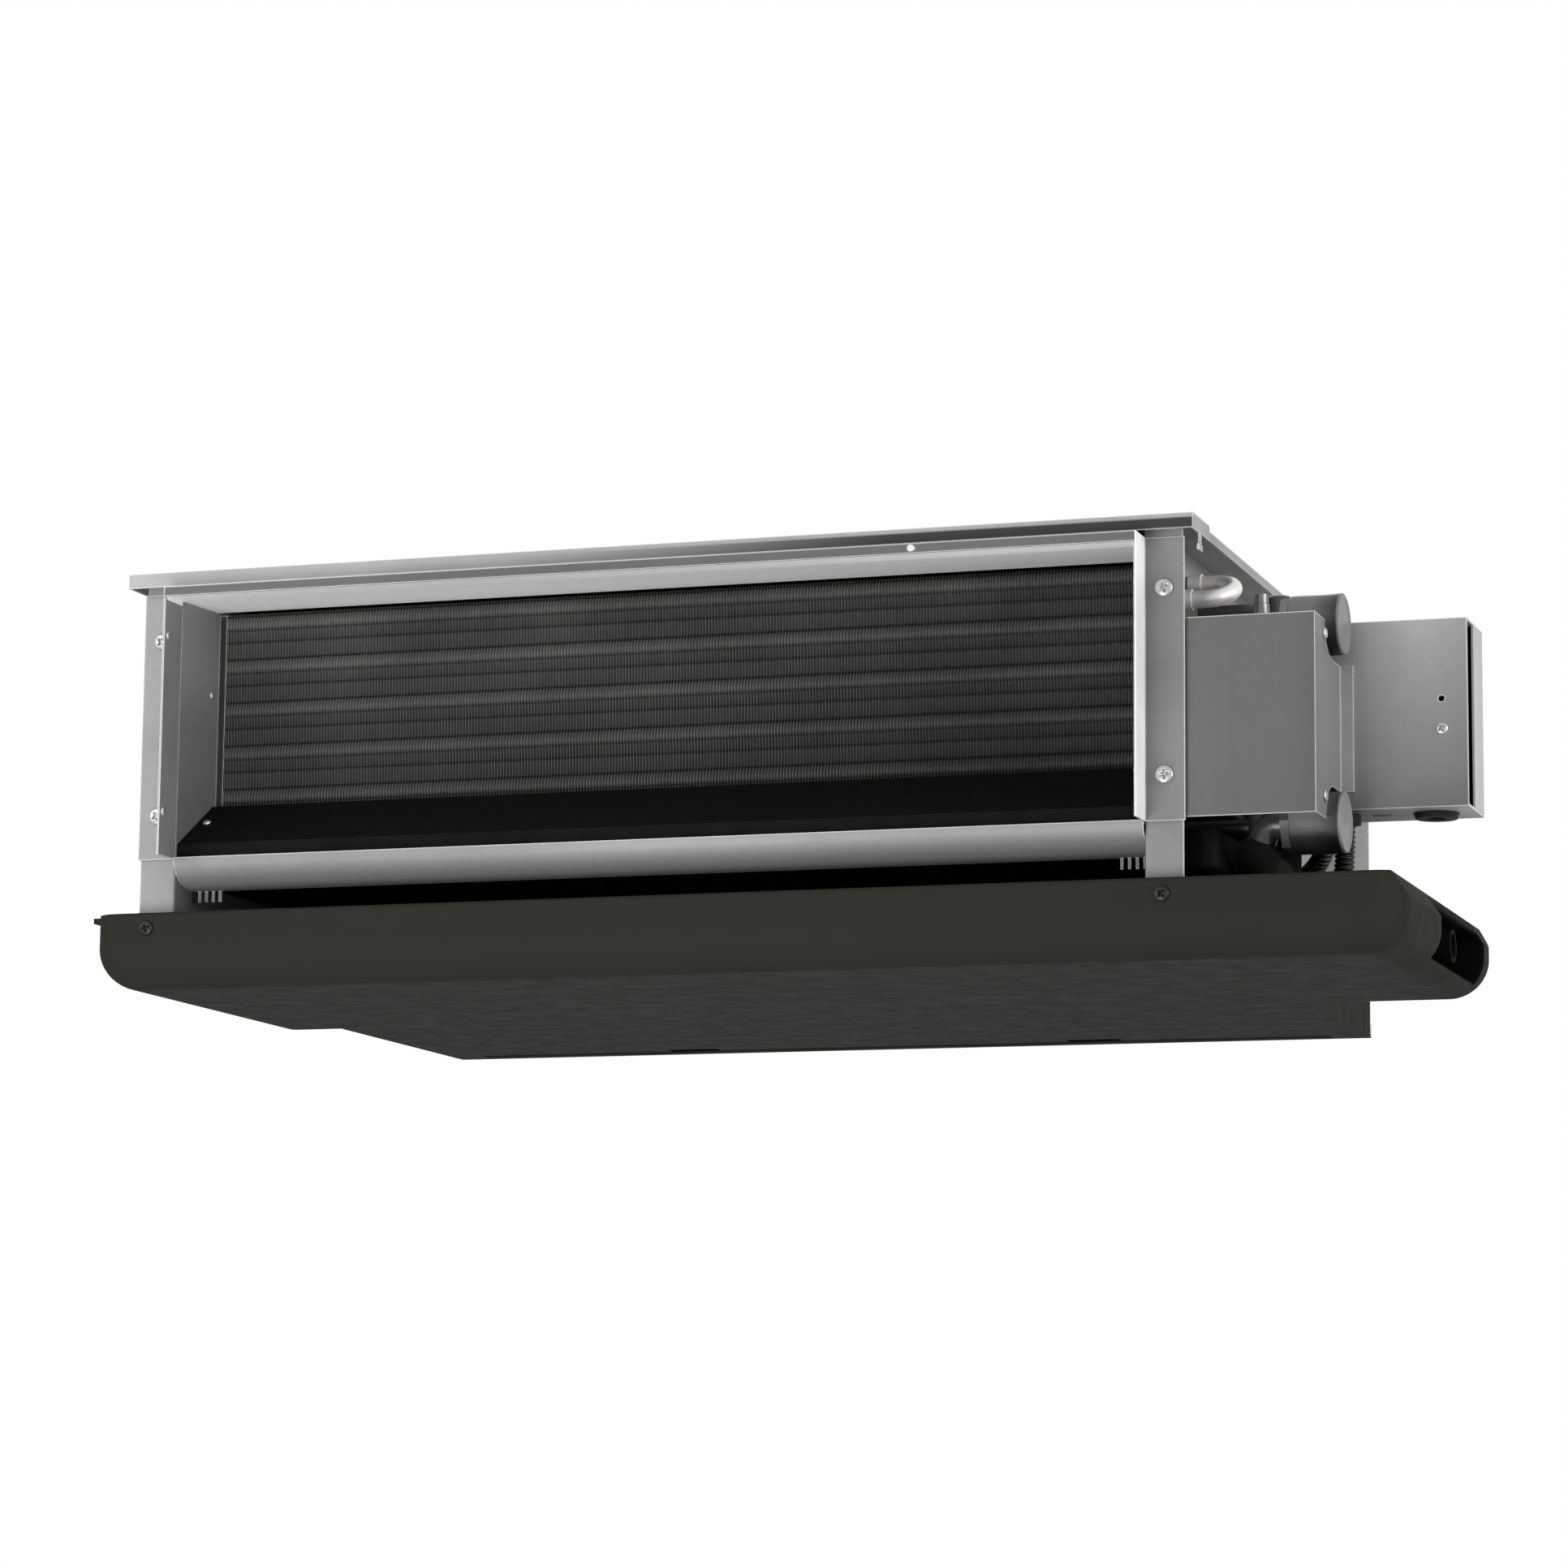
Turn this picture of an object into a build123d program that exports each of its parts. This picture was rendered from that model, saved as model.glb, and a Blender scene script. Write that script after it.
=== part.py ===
from build123d import *
import os
from math import cos, radians, sin

os.makedirs("parts", exist_ok=True)

# Frame: X to the right along the unit, -Y towards the air outlet, Z up.
# The origin is the middle of the four hanger slots, on the outer face of the top panel.

# Casing
casing_width = 600.0
casing_depth = 480.0
casing_height = 226.0
sheet = 1.2
flange = 20.0
bend_radius = 1.5
left = -casing_width / 2
right = casing_width / 2
front = -casing_depth / 2
rear = casing_depth / 2
bottom = -casing_height
web_outer = right - flange
web_inner = web_outer - sheet

# Top panel
nose = 10.0
top_lip = 8.2
hook_margin = 7.8
hook_run = 38.0
side_margin = 4.5
side_lip = 5.0
hanger_inset_x = 7.6
hanger_inset_y = 20.0
hanger_slot_length = 13.0
hanger_slot_width = 8.5
tab_stem = 3.0
tab_bar = 8.0
tab_drop = 9.0

# Outlet frame
outlet_sill = 64.0
outlet_head_gap = 10.8
collar_reach = 22.0
frame_overhang = 1.0
screw_head_r = 4.9
screw_head_height = 2.2
screw_shank_r = 1.9
screw_shank_length = 7.0
screw_hole_r = 2.1
frame_screw_rise = 24.5
frame_screw_drop = 27.2
roof_fold = 5.4
roof_rise = 3.4
roof_gap = 0.6
rivet_r = 2.4
rivet_height = 0.9
wall_rivet_setback = 42.0
wall_rivet_drop = 62.0
rivet_taper = 30.0
screw_taper = 25.0
pan_rivet_inset = 6.0
pan_rivet_share = 0.62
strip_rivet_x = 157.0

# Front crossbar
crossbar_nose = 3.0
crossbar_depth = 26.0
crossbar_drop = 15.4
crossbar_lip = 9.0
crossbar_hem = 0.8
comb_length = 18.0
comb_drop = 6.2
comb_pitch = 4.2
comb_tooth = 1.6
comb_inset = 2.5

# Coil
coil_setback = 50.0
coil_base = 62.0
coil_head_gap = 14.0
row_pitch = 22.0
tubes_in_row = 6
coil_rows = 3
tube_r = 4.76
tube_fit = 0.12
fin_ripple = 1.1
end_plate_sheet = 1.5
end_plate_lip = 3.0
socket_r = 5.7
socket_length = 7.0
joint_reach = 3.5
return_reach = 14.0
coil_front = front + coil_setback
coil_depth = coil_rows * row_pitch
coil_rear = coil_front + coil_depth
coil_bottom = bottom + coil_base
coil_top = -coil_head_gap
coil_height = coil_top - coil_bottom
tube_pitch = coil_height / tubes_in_row
end_plate_x = web_inner - end_plate_lip
fin_half = end_plate_x - end_plate_sheet
joint_x = web_outer + joint_reach
window_side_rim = 4.0
window_rim = 1.25

# Inner drain pan and drip bowl
pan_wall = 2.5
pan_floor = 56.0
pan_gap = 0.4
apron_start = 2.0
apron_foot = 73.0
apron_knee_gap = 6.0
apron_knee = 98.0
apron_head = 100.5
pan_back_height = 90.0
pan_back_gap = 14.0
pan_weir = 5.5
weir_drop = 1.0
apron_bend_wall = 3.25
drip_slot_length = 36.0
drip_slot_height = 5.0
drip_slot_sill = 1.0
bowl_reach = 34.0
bowl_front = 20.0
bowl_length = 105.0
bowl_height = 22.0
bowl_wall = 2.2
bowl_corner = 9.0
bowl_bend = 4.0
spout_setback = 17.6
spout_r = 8.0
spout_bore_r = 6.3
spout_length = 12.0

# Headers and water connections
header_r = 8.0
header_x = right + 28.0
header_tail = 8.0
header_foot = 6.0
header_dome = 3.0
pipe_r = 7.5
pipe_wall = 1.0
connection_setback = 45.0
connection_rise = 4.25
connection_lower = 66.5
cross_pipe_height = 44.0
elbow_r = 9.0
wide_elbow_r = 13.0
rising_reach = 6.0
rising_elbow_r = 8.0
foam_rise = 0.57
foam_wall = 4.0
foam_fit = 0.15
foam_start = 2.0
union_x = right + 44.0
union_hex = 27.0
union_hex_length = 5.0
union_r = 13.9
union_length = 25.5
union_bore_r = 10.5
pipe_socket = 6.0
cap_r = 16.5
cap_fit = 0.3
cap_length = 28.0
cap_end = 2.0
cap_edge = 1.2
cap_x = right + 49.0
vent_r = 4.5
vent_height = 8.0
vent_knob_r = 4.0
vent_knob_height = 5.0
vent_fit = 0.3
vent_slot = 1.2

# Drain tray
tray_left = 25.0
tray_right = 118.0
tray_nose = 10.0
tray_depth = 255.0
tray_rim = 33.0
tray_sink = 8.0
tray_wall = 3.0
tray_corner = 16.0
tray_bend = 22.0
tray_hook = 6.0
tray_hook_drop = 3.0
tray_lean = 7.5
tray_lean_height = 12.0
tray_rib = 3.0
casing_gap = 0.4
tray_rib_count = 4
niche_front = 90.0
niche_length = 125.0
niche_depth = 25.0
niche_floor = -1.0
niche_height = 27.0
drain_r = 10.0
drain_fit = 0.15
drain_stub_r = 9.0
drain_bore_r = 7.2
drain_length = 20.0
drain_flange_r = 12.5
drain_flange = 2.0
drain_setback = 150.0
drain_height = 12.5
tray_screw_height = 24.4
tray_screw_inset = 10.5
tray_screw_head_r = 4.2
boss_r = 5.5

# Pipe cover
cover_reach = 70.0
cover_sill = 66.0
cover_head_drop = 0.5
cover_band = 7.0
notch_r = 19.0
cover_screw_r = 3.3
cover_screw_height = 1.8
cover_screw_length = 5.0
cover_screw_upper = (23.5, 164.0)
cover_screw_lower = (21.7, 77.5)

# Electrical box
box_left = 45.0
box_right = 138.0
box_front = 65.0
box_depth = 45.0
box_sill = 76.0
box_height = 101.0
box_side_lip = 26.0
box_insert = 2.0
box_insert_inset = 3.2
lid_hole_r = 1.7
lid_screw_x = 124.0
lid_screw_height = 117.8
lid_hole_height = 133.9
lid_screw_r = 3.4
lid_screw_fit = 0.2
stay_width = 16.0
stay_height = 40.0
bracket_setback = 119.0
bracket_height = 70.0
bracket_foot = 26.0
bracket_overlap = 52.0
cable_hole_r = 10.0
cable_hole_x = 116.5
cable_hole_setback = 88.0
cable_bore_r = 5.0
grommet_rim_r = 12.3
grommet_rim = 3.0
grommet_groove_fit = 0.1
grommet_taper = 20.0
grommet_lip = 1.0
slot_x = 86.7
slot_width = 12.0
slot_depth = 6.0
terminal_length = 44.0
terminal_depth = 17.0
terminal_height = 14.0
terminal_ways = 5
terminal_wall = 2.0
terminal_share = 0.4
capacitor_r = 13.0
capacitor_length = 52.0
capacitor_gap = 8.0

# Cable conduits
conduit_r = 5.5
gland_r = 8.5
conduit_fit = 0.3
gland_head = 5.0
bushing_r = 8.5
bushing_head = 2.5
bushing_lip = 2.0
bushing_fit = 0.2
motor_gland_x = 54.5
motor_gland_setback = 101.0
sensor_gland_x = 68.0
sensor_gland_setback = 84.0
motor_bushing_setback = 150.0
motor_bushing_height = 34.0
sensor_bushing_setback = 188.0
sensor_bushing_height = 18.0
motor_lead_drop = 20.0
motor_sag_x = 26.0
motor_sag_setback = 140.0
motor_sag_height = 45.0
motor_lead_x = 2.0
sensor_lead_height = 40.0
sensor_sag_x = 50.0
sensor_sag_setback = 130.0
sensor_sag_height = 16.0
sensor_lead_x = 16.0

# Fan section
deck_setback = 215.0
deck_lip = 12.0
fan_setback = 340.0
fan_height = casing_height / 2
throat_gap = 15.0
scroll_width = 150.0
scroll_inner = 75.0
scroll_start_angle = 150.0
scroll_steps = 10
tongue_drop = 6.0
scroll_gap = 8.0
scroll_entry = (-0.5, -1)
scroll_exit = (-1, 0.06)
inlet_r = 52.0
inlet_lip = 6.0
inlet_roll = 2.5
wheel_r = 64.0
wheel_bore_r = 53.0
wheel_width = 140.0
wheel_blades = 30
blade = 0.9
blade_bulge = 3.0
blade_lead = 7.0
wheel_ring = 3.0
wheel_disc = 1.5
blade_inset = 0.5
ring_overlap = 2.0
hub_r = 14.0
hub_length = 22.0
shaft_r = 6.0
shaft_fit = 0.05
shaft_overhang = 10.0
shaft_chamfer = 0.8

# Motor and cradle
motor_r = 47.0
motor_length = 84.0
motor_bell_r = 38.0
motor_bell = 9.0
motor_hub_r = 14.0
motor_hub = 11.0
ring_r = 19.0
ring_width = 8.0
cradle_sheet = 2.5
cradle_width = 26.0
cradle_eye = 3.0
cradle_base_height = 90.0

# Filter and rails
filter_setback = 462.0
filter_thickness = 11.4
filter_fit = 0.4
filter_border = 15.0
filter_rib = 3.0
filter_ribs = 4
media_thickness = 1.2
media_fit = 0.2
filter_base = 1.5
filter_head_gap = 10.0
rail_reach = 10.0
pull_width = 30.0
pull_reach = 9.0
pull_thickness = 3.0
pull_margin = 2.0
slot_margin = 0.8

# Bottom panel, fan cover and foam
bottom_lip = 12.0
bottom_front_gap = 24.0
cover_seam = 1.0
cover_side_lip = 24.0
cover_rear_lip = 7.0
foam_end_gap = 4.0
foam_sheet = 5.0
foam_setback = 56.0
foam_inset = 0.5


def tube_place(row, step):
    """Depth and height of a coil tube, rows staggered by half a pitch."""
    depth = coil_front + row_pitch * (row + 0.5)
    height = coil_bottom + tube_pitch * (step + 0.25 + 0.5 * (row % 2))
    return depth, height


tube_places = [tube_place(row, step) for row in range(coil_rows) for step in range(tubes_in_row)]

# Top panel: flat sheet with a folded front lip, hooked front corners and short side lips.
hook_x = right + hook_margin
margin_x = right + side_margin
nose_y = front - nose
hook_rear = nose_y + hook_run
hanger_spacing_x = 2 * (right - hanger_inset_x)
hanger_spacing_y = casing_depth - 2 * hanger_inset_y
with BuildPart() as top_panel:
    with BuildSketch(Plane.XY.offset(-sheet)):
        with Locations((0, (front + rear) / 2)):
            Rectangle(2 * margin_x, casing_depth)
        with Locations((0, nose_y + hook_run / 2)):
            Rectangle(2 * hook_x, hook_run)
        with GridLocations(hanger_spacing_x, hanger_spacing_y, 2, 2):
            SlotOverall(hanger_slot_length, hanger_slot_width, mode=Mode.SUBTRACT)
    extrude(amount=sheet)
    with BuildSketch(Plane.XY.offset(-top_lip)):
        with Locations((0, nose_y + sheet / 2)):
            Rectangle(2 * hook_x, sheet)
        with Locations((0, nose_y + hook_run / 2)):
            with GridLocations(2 * hook_x - sheet, 0, 2, 1):
                Rectangle(sheet, hook_run)
    extrude(amount=top_lip - sheet)
    with BuildSketch(Plane.XY.offset(-side_lip)):
        with Locations((0, (hook_rear + rear) / 2)):
            with GridLocations(2 * margin_x - sheet, 0, 2, 1):
                Rectangle(sheet, rear - hook_rear)
    extrude(amount=side_lip - sheet)
    tab_y = front + tab_bar
    with BuildSketch(Plane.YZ.offset(hook_x - sheet)):
        with Locations((tab_y, -top_lip - tab_drop / 2)):
            Rectangle(tab_stem, tab_drop)
        with Locations((tab_y, -top_lip - tab_drop + tab_stem / 2)):
            Rectangle(tab_bar, tab_stem)
    extrude(amount=sheet)
top_panel.part.label = "top_panel"
export_step(top_panel.part, "parts/top_panel.step")

# Side panels: a web with outward flanges at the front and rear, windowed for the coil tubes.
window_y = (coil_front + coil_rear) / 2
window_z = (coil_bottom + coil_top) / 2
window_width = coil_depth - 2 * window_side_rim
window_height = coil_height - 2 * window_rim
pan_floor_z = bottom + pan_floor
drip_slot_z = pan_floor_z + drip_slot_sill + drip_slot_height / 2
motor_bushing = (front + motor_bushing_setback, bottom + motor_bushing_height)
sensor_bushing = (front + sensor_bushing_setback, bottom + sensor_bushing_height)
screw_x = web_outer + flange / 2
tray_screw_x = web_outer + tray_screw_inset
sill_z = bottom + outlet_sill
head_z = -outlet_head_gap
frame_screw_zs = (sill_z + frame_screw_rise, head_z - frame_screw_drop)
for side, name in ((-1, "side_panel_left"), (1, "side_panel_right")):
    with BuildPart() as side_panel:
        with BuildSketch(Plane.XY.offset(bottom)) as section:
            with BuildLine():
                Polyline(
                    (side * right, front),
                    (side * web_inner, front),
                    (side * web_inner, rear),
                    (side * right, rear),
                    (side * right, rear - sheet),
                    (side * web_outer, rear - sheet),
                    (side * web_outer, front + sheet),
                    (side * right, front + sheet),
                    close=True,
                )
            make_face()
            corners = section.vertices().filter_by_position(Axis.X, -web_inner - 0.1, web_inner + 0.1)
            fillet(corners, bend_radius)
        extrude(amount=casing_height - sheet)
        with BuildSketch(Plane.YZ.offset(side * web_outer)):
            with Locations((window_y, window_z)):
                RectangleRounded(window_width, window_height, window_side_rim)
            if side > 0:
                with Locations((window_y, drip_slot_z)):
                    Rectangle(drip_slot_length, drip_slot_height)
                with Locations(motor_bushing, sensor_bushing):
                    Circle(bushing_r - bushing_lip)
        extrude(amount=-side * 2 * sheet, both=True, mode=Mode.SUBTRACT)
        with BuildSketch(Plane.XZ.offset(-front)):
            for screw_z in frame_screw_zs:
                with Locations((side * screw_x, screw_z)):
                    Circle(screw_hole_r)
            with Locations((side * tray_screw_x, bottom + tray_screw_height)):
                Circle(screw_hole_r)
        extrude(amount=-2 * sheet, mode=Mode.SUBTRACT)
    side_panel.part.label = name
    export_step(side_panel.part, f"parts/{name}.step")

# Outlet frame: side flanges, a forward collar and a roof that rises back to the coil.
frame_height = head_z - sill_z
collar_y = front - collar_reach
roof_y = coil_front - fin_ripple - roof_gap
with BuildPart() as outlet_frame:
    with BuildSketch(Plane.XZ.offset(-front)):
        with Locations((0, (sill_z + head_z) / 2)):
            with GridLocations(2 * web_outer - sheet, 0, 2, 1):
                Rectangle(sheet, frame_height)
    extrude(amount=collar_reach)
    with BuildSketch(Plane.XZ.offset(-front)):
        with Locations((0, (sill_z + head_z) / 2)):
            with GridLocations(2 * web_outer + flange + frame_overhang, 0, 2, 1):
                Rectangle(flange + frame_overhang, frame_height)
        for screw_z in frame_screw_zs:
            with Locations((-screw_x, screw_z), (screw_x, screw_z)):
                Circle(screw_hole_r, mode=Mode.SUBTRACT)
    extrude(amount=sheet)
    with BuildSketch(Plane.YZ.offset(-web_inner)):
        with BuildLine():
            Polyline(
                (collar_y, head_z),
                (collar_y, head_z - roof_fold),
                (roof_y, head_z - roof_fold + roof_rise),
                (roof_y, head_z - roof_fold + roof_rise + sheet),
                (collar_y + sheet, head_z - roof_fold + sheet),
                (collar_y + sheet, head_z),
                close=True,
            )
        make_face()
    extrude(amount=2 * web_inner)
outlet_frame.part.label = "outlet_frame"
export_step(outlet_frame.part, "parts/outlet_frame.step")

# Pan-head screws through the frame flange, one node of four.
with BuildPart() as frame_screws:
    for screw_z in frame_screw_zs:
        for side in (-1, 1):
            spot = (side * screw_x, screw_z)
            with BuildSketch(Plane.XZ.offset(-(front - sheet))):
                with Locations(spot):
                    Circle(screw_head_r)
            extrude(amount=screw_head_height, taper=screw_taper)
            with BuildSketch(Plane.XZ.offset(-(front - sheet))):
                with Locations(spot):
                    Circle(screw_shank_r)
            extrude(amount=-screw_shank_length)
frame_screws.part.label = "frame_screws"
export_step(frame_screws.part, "parts/frame_screws.step")

# Blind rivets on the side webs, on the collar, its folded strip and the drain pan's apron.
pan_face = coil_front - fin_ripple - pan_gap
pan_rear = coil_rear + pan_back_gap
pan_foot_y = front + apron_start
knee_y = pan_face - apron_knee_gap
apron_foot_z = bottom + apron_foot
apron_knee_z = bottom + apron_knee
apron_plane = Plane(
    origin=(
        0,
        pan_foot_y + pan_rivet_share * (knee_y - pan_foot_y),
        apron_foot_z + pan_rivet_share * (apron_knee_z - apron_foot_z),
    ),
    x_dir=(1, 0, 0),
    z_dir=(0, apron_foot_z - apron_knee_z, knee_y - pan_foot_y),
)
with BuildPart() as rivets:
    for side in (-1, 1):
        with BuildSketch(Plane.YZ.offset(side * web_inner)):
            with Locations((front + wall_rivet_setback, -wall_rivet_drop)):
                Circle(rivet_r)
        extrude(amount=-side * rivet_height, taper=rivet_taper)
        with BuildSketch(apron_plane):
            with Locations((side * (web_inner - pan_rivet_inset), 0)):
                Circle(rivet_r)
        extrude(amount=rivet_height, taper=rivet_taper)
        for screw_z in frame_screw_zs:
            with BuildSketch(Plane.YZ.offset(side * (web_outer - sheet))):
                with Locations((collar_y + 2 * rivet_r, screw_z)):
                    Circle(rivet_r)
            extrude(amount=-side * rivet_height, taper=rivet_taper)
    with BuildSketch(Plane.XZ.offset(-collar_y)):
        with Locations((strip_rivet_x, head_z - roof_fold / 2)):
            Circle(rivet_r)
    extrude(amount=rivet_height, taper=rivet_taper)
rivets.part.label = "rivets"
export_step(rivets.part, "parts/rivets.step")

# Front crossbar: a rolled sheet bar, quarter-round to the front and below, with comb tabs.
bar_front = front - crossbar_nose
bar_rear = bar_front + crossbar_depth
bar_low = sill_z - crossbar_drop
with BuildPart() as front_crossbar:
    with BuildSketch(Plane.YZ.offset(-web_inner)):
        with BuildLine():
            outer = EllipticalCenterArc(
                (bar_rear, sill_z), crossbar_depth, crossbar_drop, start_angle=180, arc_size=90
            )
            rear_up = Line(outer @ 1, (bar_rear, bar_low + crossbar_lip))
            rear_in = Line(rear_up @ 1, (bar_rear - sheet, bar_low + crossbar_lip))
            Line(rear_in @ 1, (bar_rear - sheet, bar_low + sheet))
            inner = EllipticalCenterArc(
                (bar_rear - sheet, sill_z - sheet),
                crossbar_depth - 2 * sheet,
                crossbar_drop - 2 * sheet,
                start_angle=180,
                arc_size=90,
            )
            Polyline(
                inner @ 0,
                (front + crossbar_lip, sill_z - sheet),
                (front + crossbar_lip, sill_z),
                (bar_front + sheet, sill_z),
                (bar_front + sheet, sill_z + crossbar_hem),
                (bar_front, sill_z + crossbar_hem),
                outer @ 0,
            )
        make_face()
    extrude(amount=2 * web_inner)
    with BuildSketch(Plane.XZ.offset(-bar_rear)):
        for side in (-1, 1):
            tooth_x = side * (web_inner - comb_inset - comb_length / 2)
            with Locations((tooth_x, bar_low)):
                with GridLocations(comb_pitch, 0, 4, 1):
                    Rectangle(comb_tooth, 2 * comb_drop)
    extrude(amount=sheet)
front_crossbar.part.label = "front_crossbar"
export_step(front_crossbar.part, "parts/front_crossbar.step")

# Inner drain pan: sloping apron in front of the coil foot and a trough under the fins.
with BuildPart() as inner_drain_pan:
    with BuildSketch(Plane.YZ.offset(-web_inner)):
        with BuildLine():
            Polyline(
                (pan_foot_y, sill_z),
                (pan_foot_y, bottom + apron_foot),
                (knee_y, bottom + apron_knee),
                (pan_face - pan_wall, bottom + apron_head),
                (pan_face, bottom + apron_head),
                (pan_face, pan_floor_z),
                (pan_rear - pan_wall, pan_floor_z),
                (pan_rear - pan_wall, bottom + pan_back_height),
                (pan_rear, bottom + pan_back_height),
                (pan_rear, pan_floor_z - pan_wall),
                (pan_face - pan_wall, pan_floor_z - pan_wall),
                (pan_face - pan_wall, bottom + apron_knee - pan_wall),
                (knee_y + pan_wall / 2, bottom + apron_knee - apron_bend_wall),
                (pan_foot_y + pan_wall, bottom + apron_foot - pan_wall),
                (pan_foot_y + pan_wall, sill_z),
                close=True,
            )
        make_face()
    extrude(amount=2 * web_inner)
    weir_y = (pan_face + pan_rear - pan_wall) / 2
    weir_span = pan_rear - pan_wall - pan_face
    for side in (-1, 1):
        with BuildSketch(Plane.YZ.offset(side * web_inner)):
            with Locations((weir_y, pan_floor_z + (pan_weir - weir_drop) / 2)):
                Rectangle(weir_span, pan_weir - weir_drop)
            if side > 0:
                with Locations((window_y, drip_slot_z)):
                    Rectangle(drip_slot_length, drip_slot_height, mode=Mode.SUBTRACT)
        extrude(amount=-side * pan_wall)
inner_drain_pan.part.label = "inner_drain_pan"
export_step(inner_drain_pan.part, "parts/inner_drain_pan.step")

# Drip bowl under the tube bends, fed by the pan, with a spout over the outer tray.
bowl_top = pan_floor_z + pan_weir
with BuildPart() as drip_bowl:
    with BuildSketch(Plane.XY.offset(bowl_top)):
        with Locations((web_outer + bowl_reach / 2, front + bowl_front + bowl_length / 2)):
            Rectangle(bowl_reach, bowl_length)
        fillet(vertices().group_by(Axis.X)[-1], bowl_corner)
    extrude(amount=-bowl_height)
    floor_edges = faces().sort_by(Axis.Z)[0].edges()
    fillet(floor_edges.filter_by_position(Axis.X, web_outer, right + bowl_reach, (False, True)), bowl_bend)
    offset(amount=-bowl_wall, openings=faces().sort_by(Axis.Z)[-1])
    with BuildSketch(Plane.YZ.offset(web_outer)):
        with Locations((window_y, drip_slot_z + drip_slot_sill)):
            Rectangle(drip_slot_length, drip_slot_height + 2 * drip_slot_sill)
    extrude(amount=bowl_wall, mode=Mode.SUBTRACT)
    spout_y = front + bowl_front + spout_setback
    with BuildSketch(Plane.XY.offset(bowl_top - bowl_height + bowl_wall)):
        with Locations((web_outer + bowl_reach / 2, spout_y)):
            Circle(spout_r)
    extrude(amount=-bowl_wall - spout_length)
    with BuildSketch(Plane.XY.offset(bowl_top - bowl_height + bowl_wall)):
        with Locations((web_outer + bowl_reach / 2, spout_y)):
            Circle(spout_bore_r)
    extrude(amount=-bowl_wall - spout_length, mode=Mode.SUBTRACT)
drip_bowl.part.label = "drip_bowl"
export_step(drip_bowl.part, "parts/drip_bowl.step")

# Coil fins: one pack whose edges ripple once in each half tube pitch.
half_pitch = tube_pitch / 2
with BuildPart() as coil_fin_pack:
    with BuildSketch(Plane.YZ.offset(-fin_half)):
        with BuildLine():
            for step in range(2 * tubes_in_row):
                low = coil_bottom + step * half_pitch
                ThreePointArc(
                    (coil_front, low),
                    (coil_front - fin_ripple, low + half_pitch / 2),
                    (coil_front, low + half_pitch),
                )
            Line((coil_front, coil_top), (coil_rear, coil_top))
            for step in range(2 * tubes_in_row):
                high = coil_top - step * half_pitch
                ThreePointArc(
                    (coil_rear, high),
                    (coil_rear + fin_ripple, high - half_pitch / 2),
                    (coil_rear, high - half_pitch),
                )
            Line((coil_rear, coil_bottom), (coil_front, coil_bottom))
        make_face()
        with Locations(*tube_places):
            Circle(tube_r + tube_fit, mode=Mode.SUBTRACT)
    extrude(amount=2 * fin_half)
coil_fin_pack.part.label = "coil_fin_pack"
export_step(coil_fin_pack.part, "parts/coil_fin_pack.step")

# Coil end plates: punched sheets lipped on three sides to the side webs.
for side, name in ((-1, "coil_plate_left"), (1, "coil_plate_right")):
    with BuildPart() as coil_plate:
        with BuildSketch(Plane.YZ.offset(side * fin_half)):
            with Locations((window_y, window_z)):
                Rectangle(coil_depth, coil_height)
            with Locations(*tube_places):
                Circle(tube_r + tube_fit, mode=Mode.SUBTRACT)
        extrude(amount=side * end_plate_sheet)
        with BuildSketch(Plane.YZ.offset(side * end_plate_x)):
            with Locations((window_y, window_z)):
                with GridLocations(0, coil_height - sheet, 1, 2):
                    Rectangle(coil_depth, sheet)
            with Locations((coil_front + sheet / 2, window_z)):
                Rectangle(sheet, coil_height)
        extrude(amount=side * end_plate_lip)
    coil_plate.part.label = name
    export_step(coil_plate.part, f"parts/{name}.step")

# Hairpin tubes: two legs through the pack joined by a bend beyond the left plate.
with BuildPart() as hairpin_tubes:
    for row in range(coil_rows):
        for step in range(0, tubes_in_row, 2):
            depth, low = tube_place(row, step)
            high = low + tube_pitch
            with BuildLine() as hairpin:
                Line((joint_x, depth, low), (-web_outer, depth, low))
                ThreePointArc(
                    (-web_outer, depth, low),
                    (-web_outer - tube_pitch / 2, depth, (low + high) / 2),
                    (-web_outer, depth, high),
                )
                Line((-web_outer, depth, high), (joint_x, depth, high))
            with BuildSketch(Plane(origin=(joint_x, depth, low), z_dir=(-1, 0, 0))):
                Circle(tube_r)
            sweep(path=hairpin.line)
hairpin_tubes.part.label = "hairpin_tubes"
export_step(hairpin_tubes.part, "parts/hairpin_tubes.step")

# Return bends: each joins two staggered rows outside the right plate.
with BuildPart() as return_bends:
    for step in range(0, tubes_in_row, 2):
        for lower, upper in (((2, step), (1, step)), ((0, step + 1), (1, step + 1))):
            first = Vector(joint_x, *tube_place(*lower))
            second = Vector(joint_x, *tube_place(*upper))
            run = Vector(return_reach, 0, 0)
            crown = Vector((second - first).length / 2, 0, 0)
            with BuildLine() as bend:
                Line(first, first + run)
                ThreePointArc(first + run, (first + second) / 2 + run + crown, second + run)
                Line(second + run, second)
            with BuildSketch(Plane(origin=first, z_dir=(1, 0, 0))):
                Circle(tube_r)
            sweep(path=bend.line)
            for end in (first, second):
                with BuildSketch(Plane(origin=end, z_dir=(1, 0, 0))):
                    Circle(socket_r)
                extrude(amount=socket_length)
return_bends.part.label = "return_bends"
export_step(return_bends.part, "parts/return_bends.step")

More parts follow.
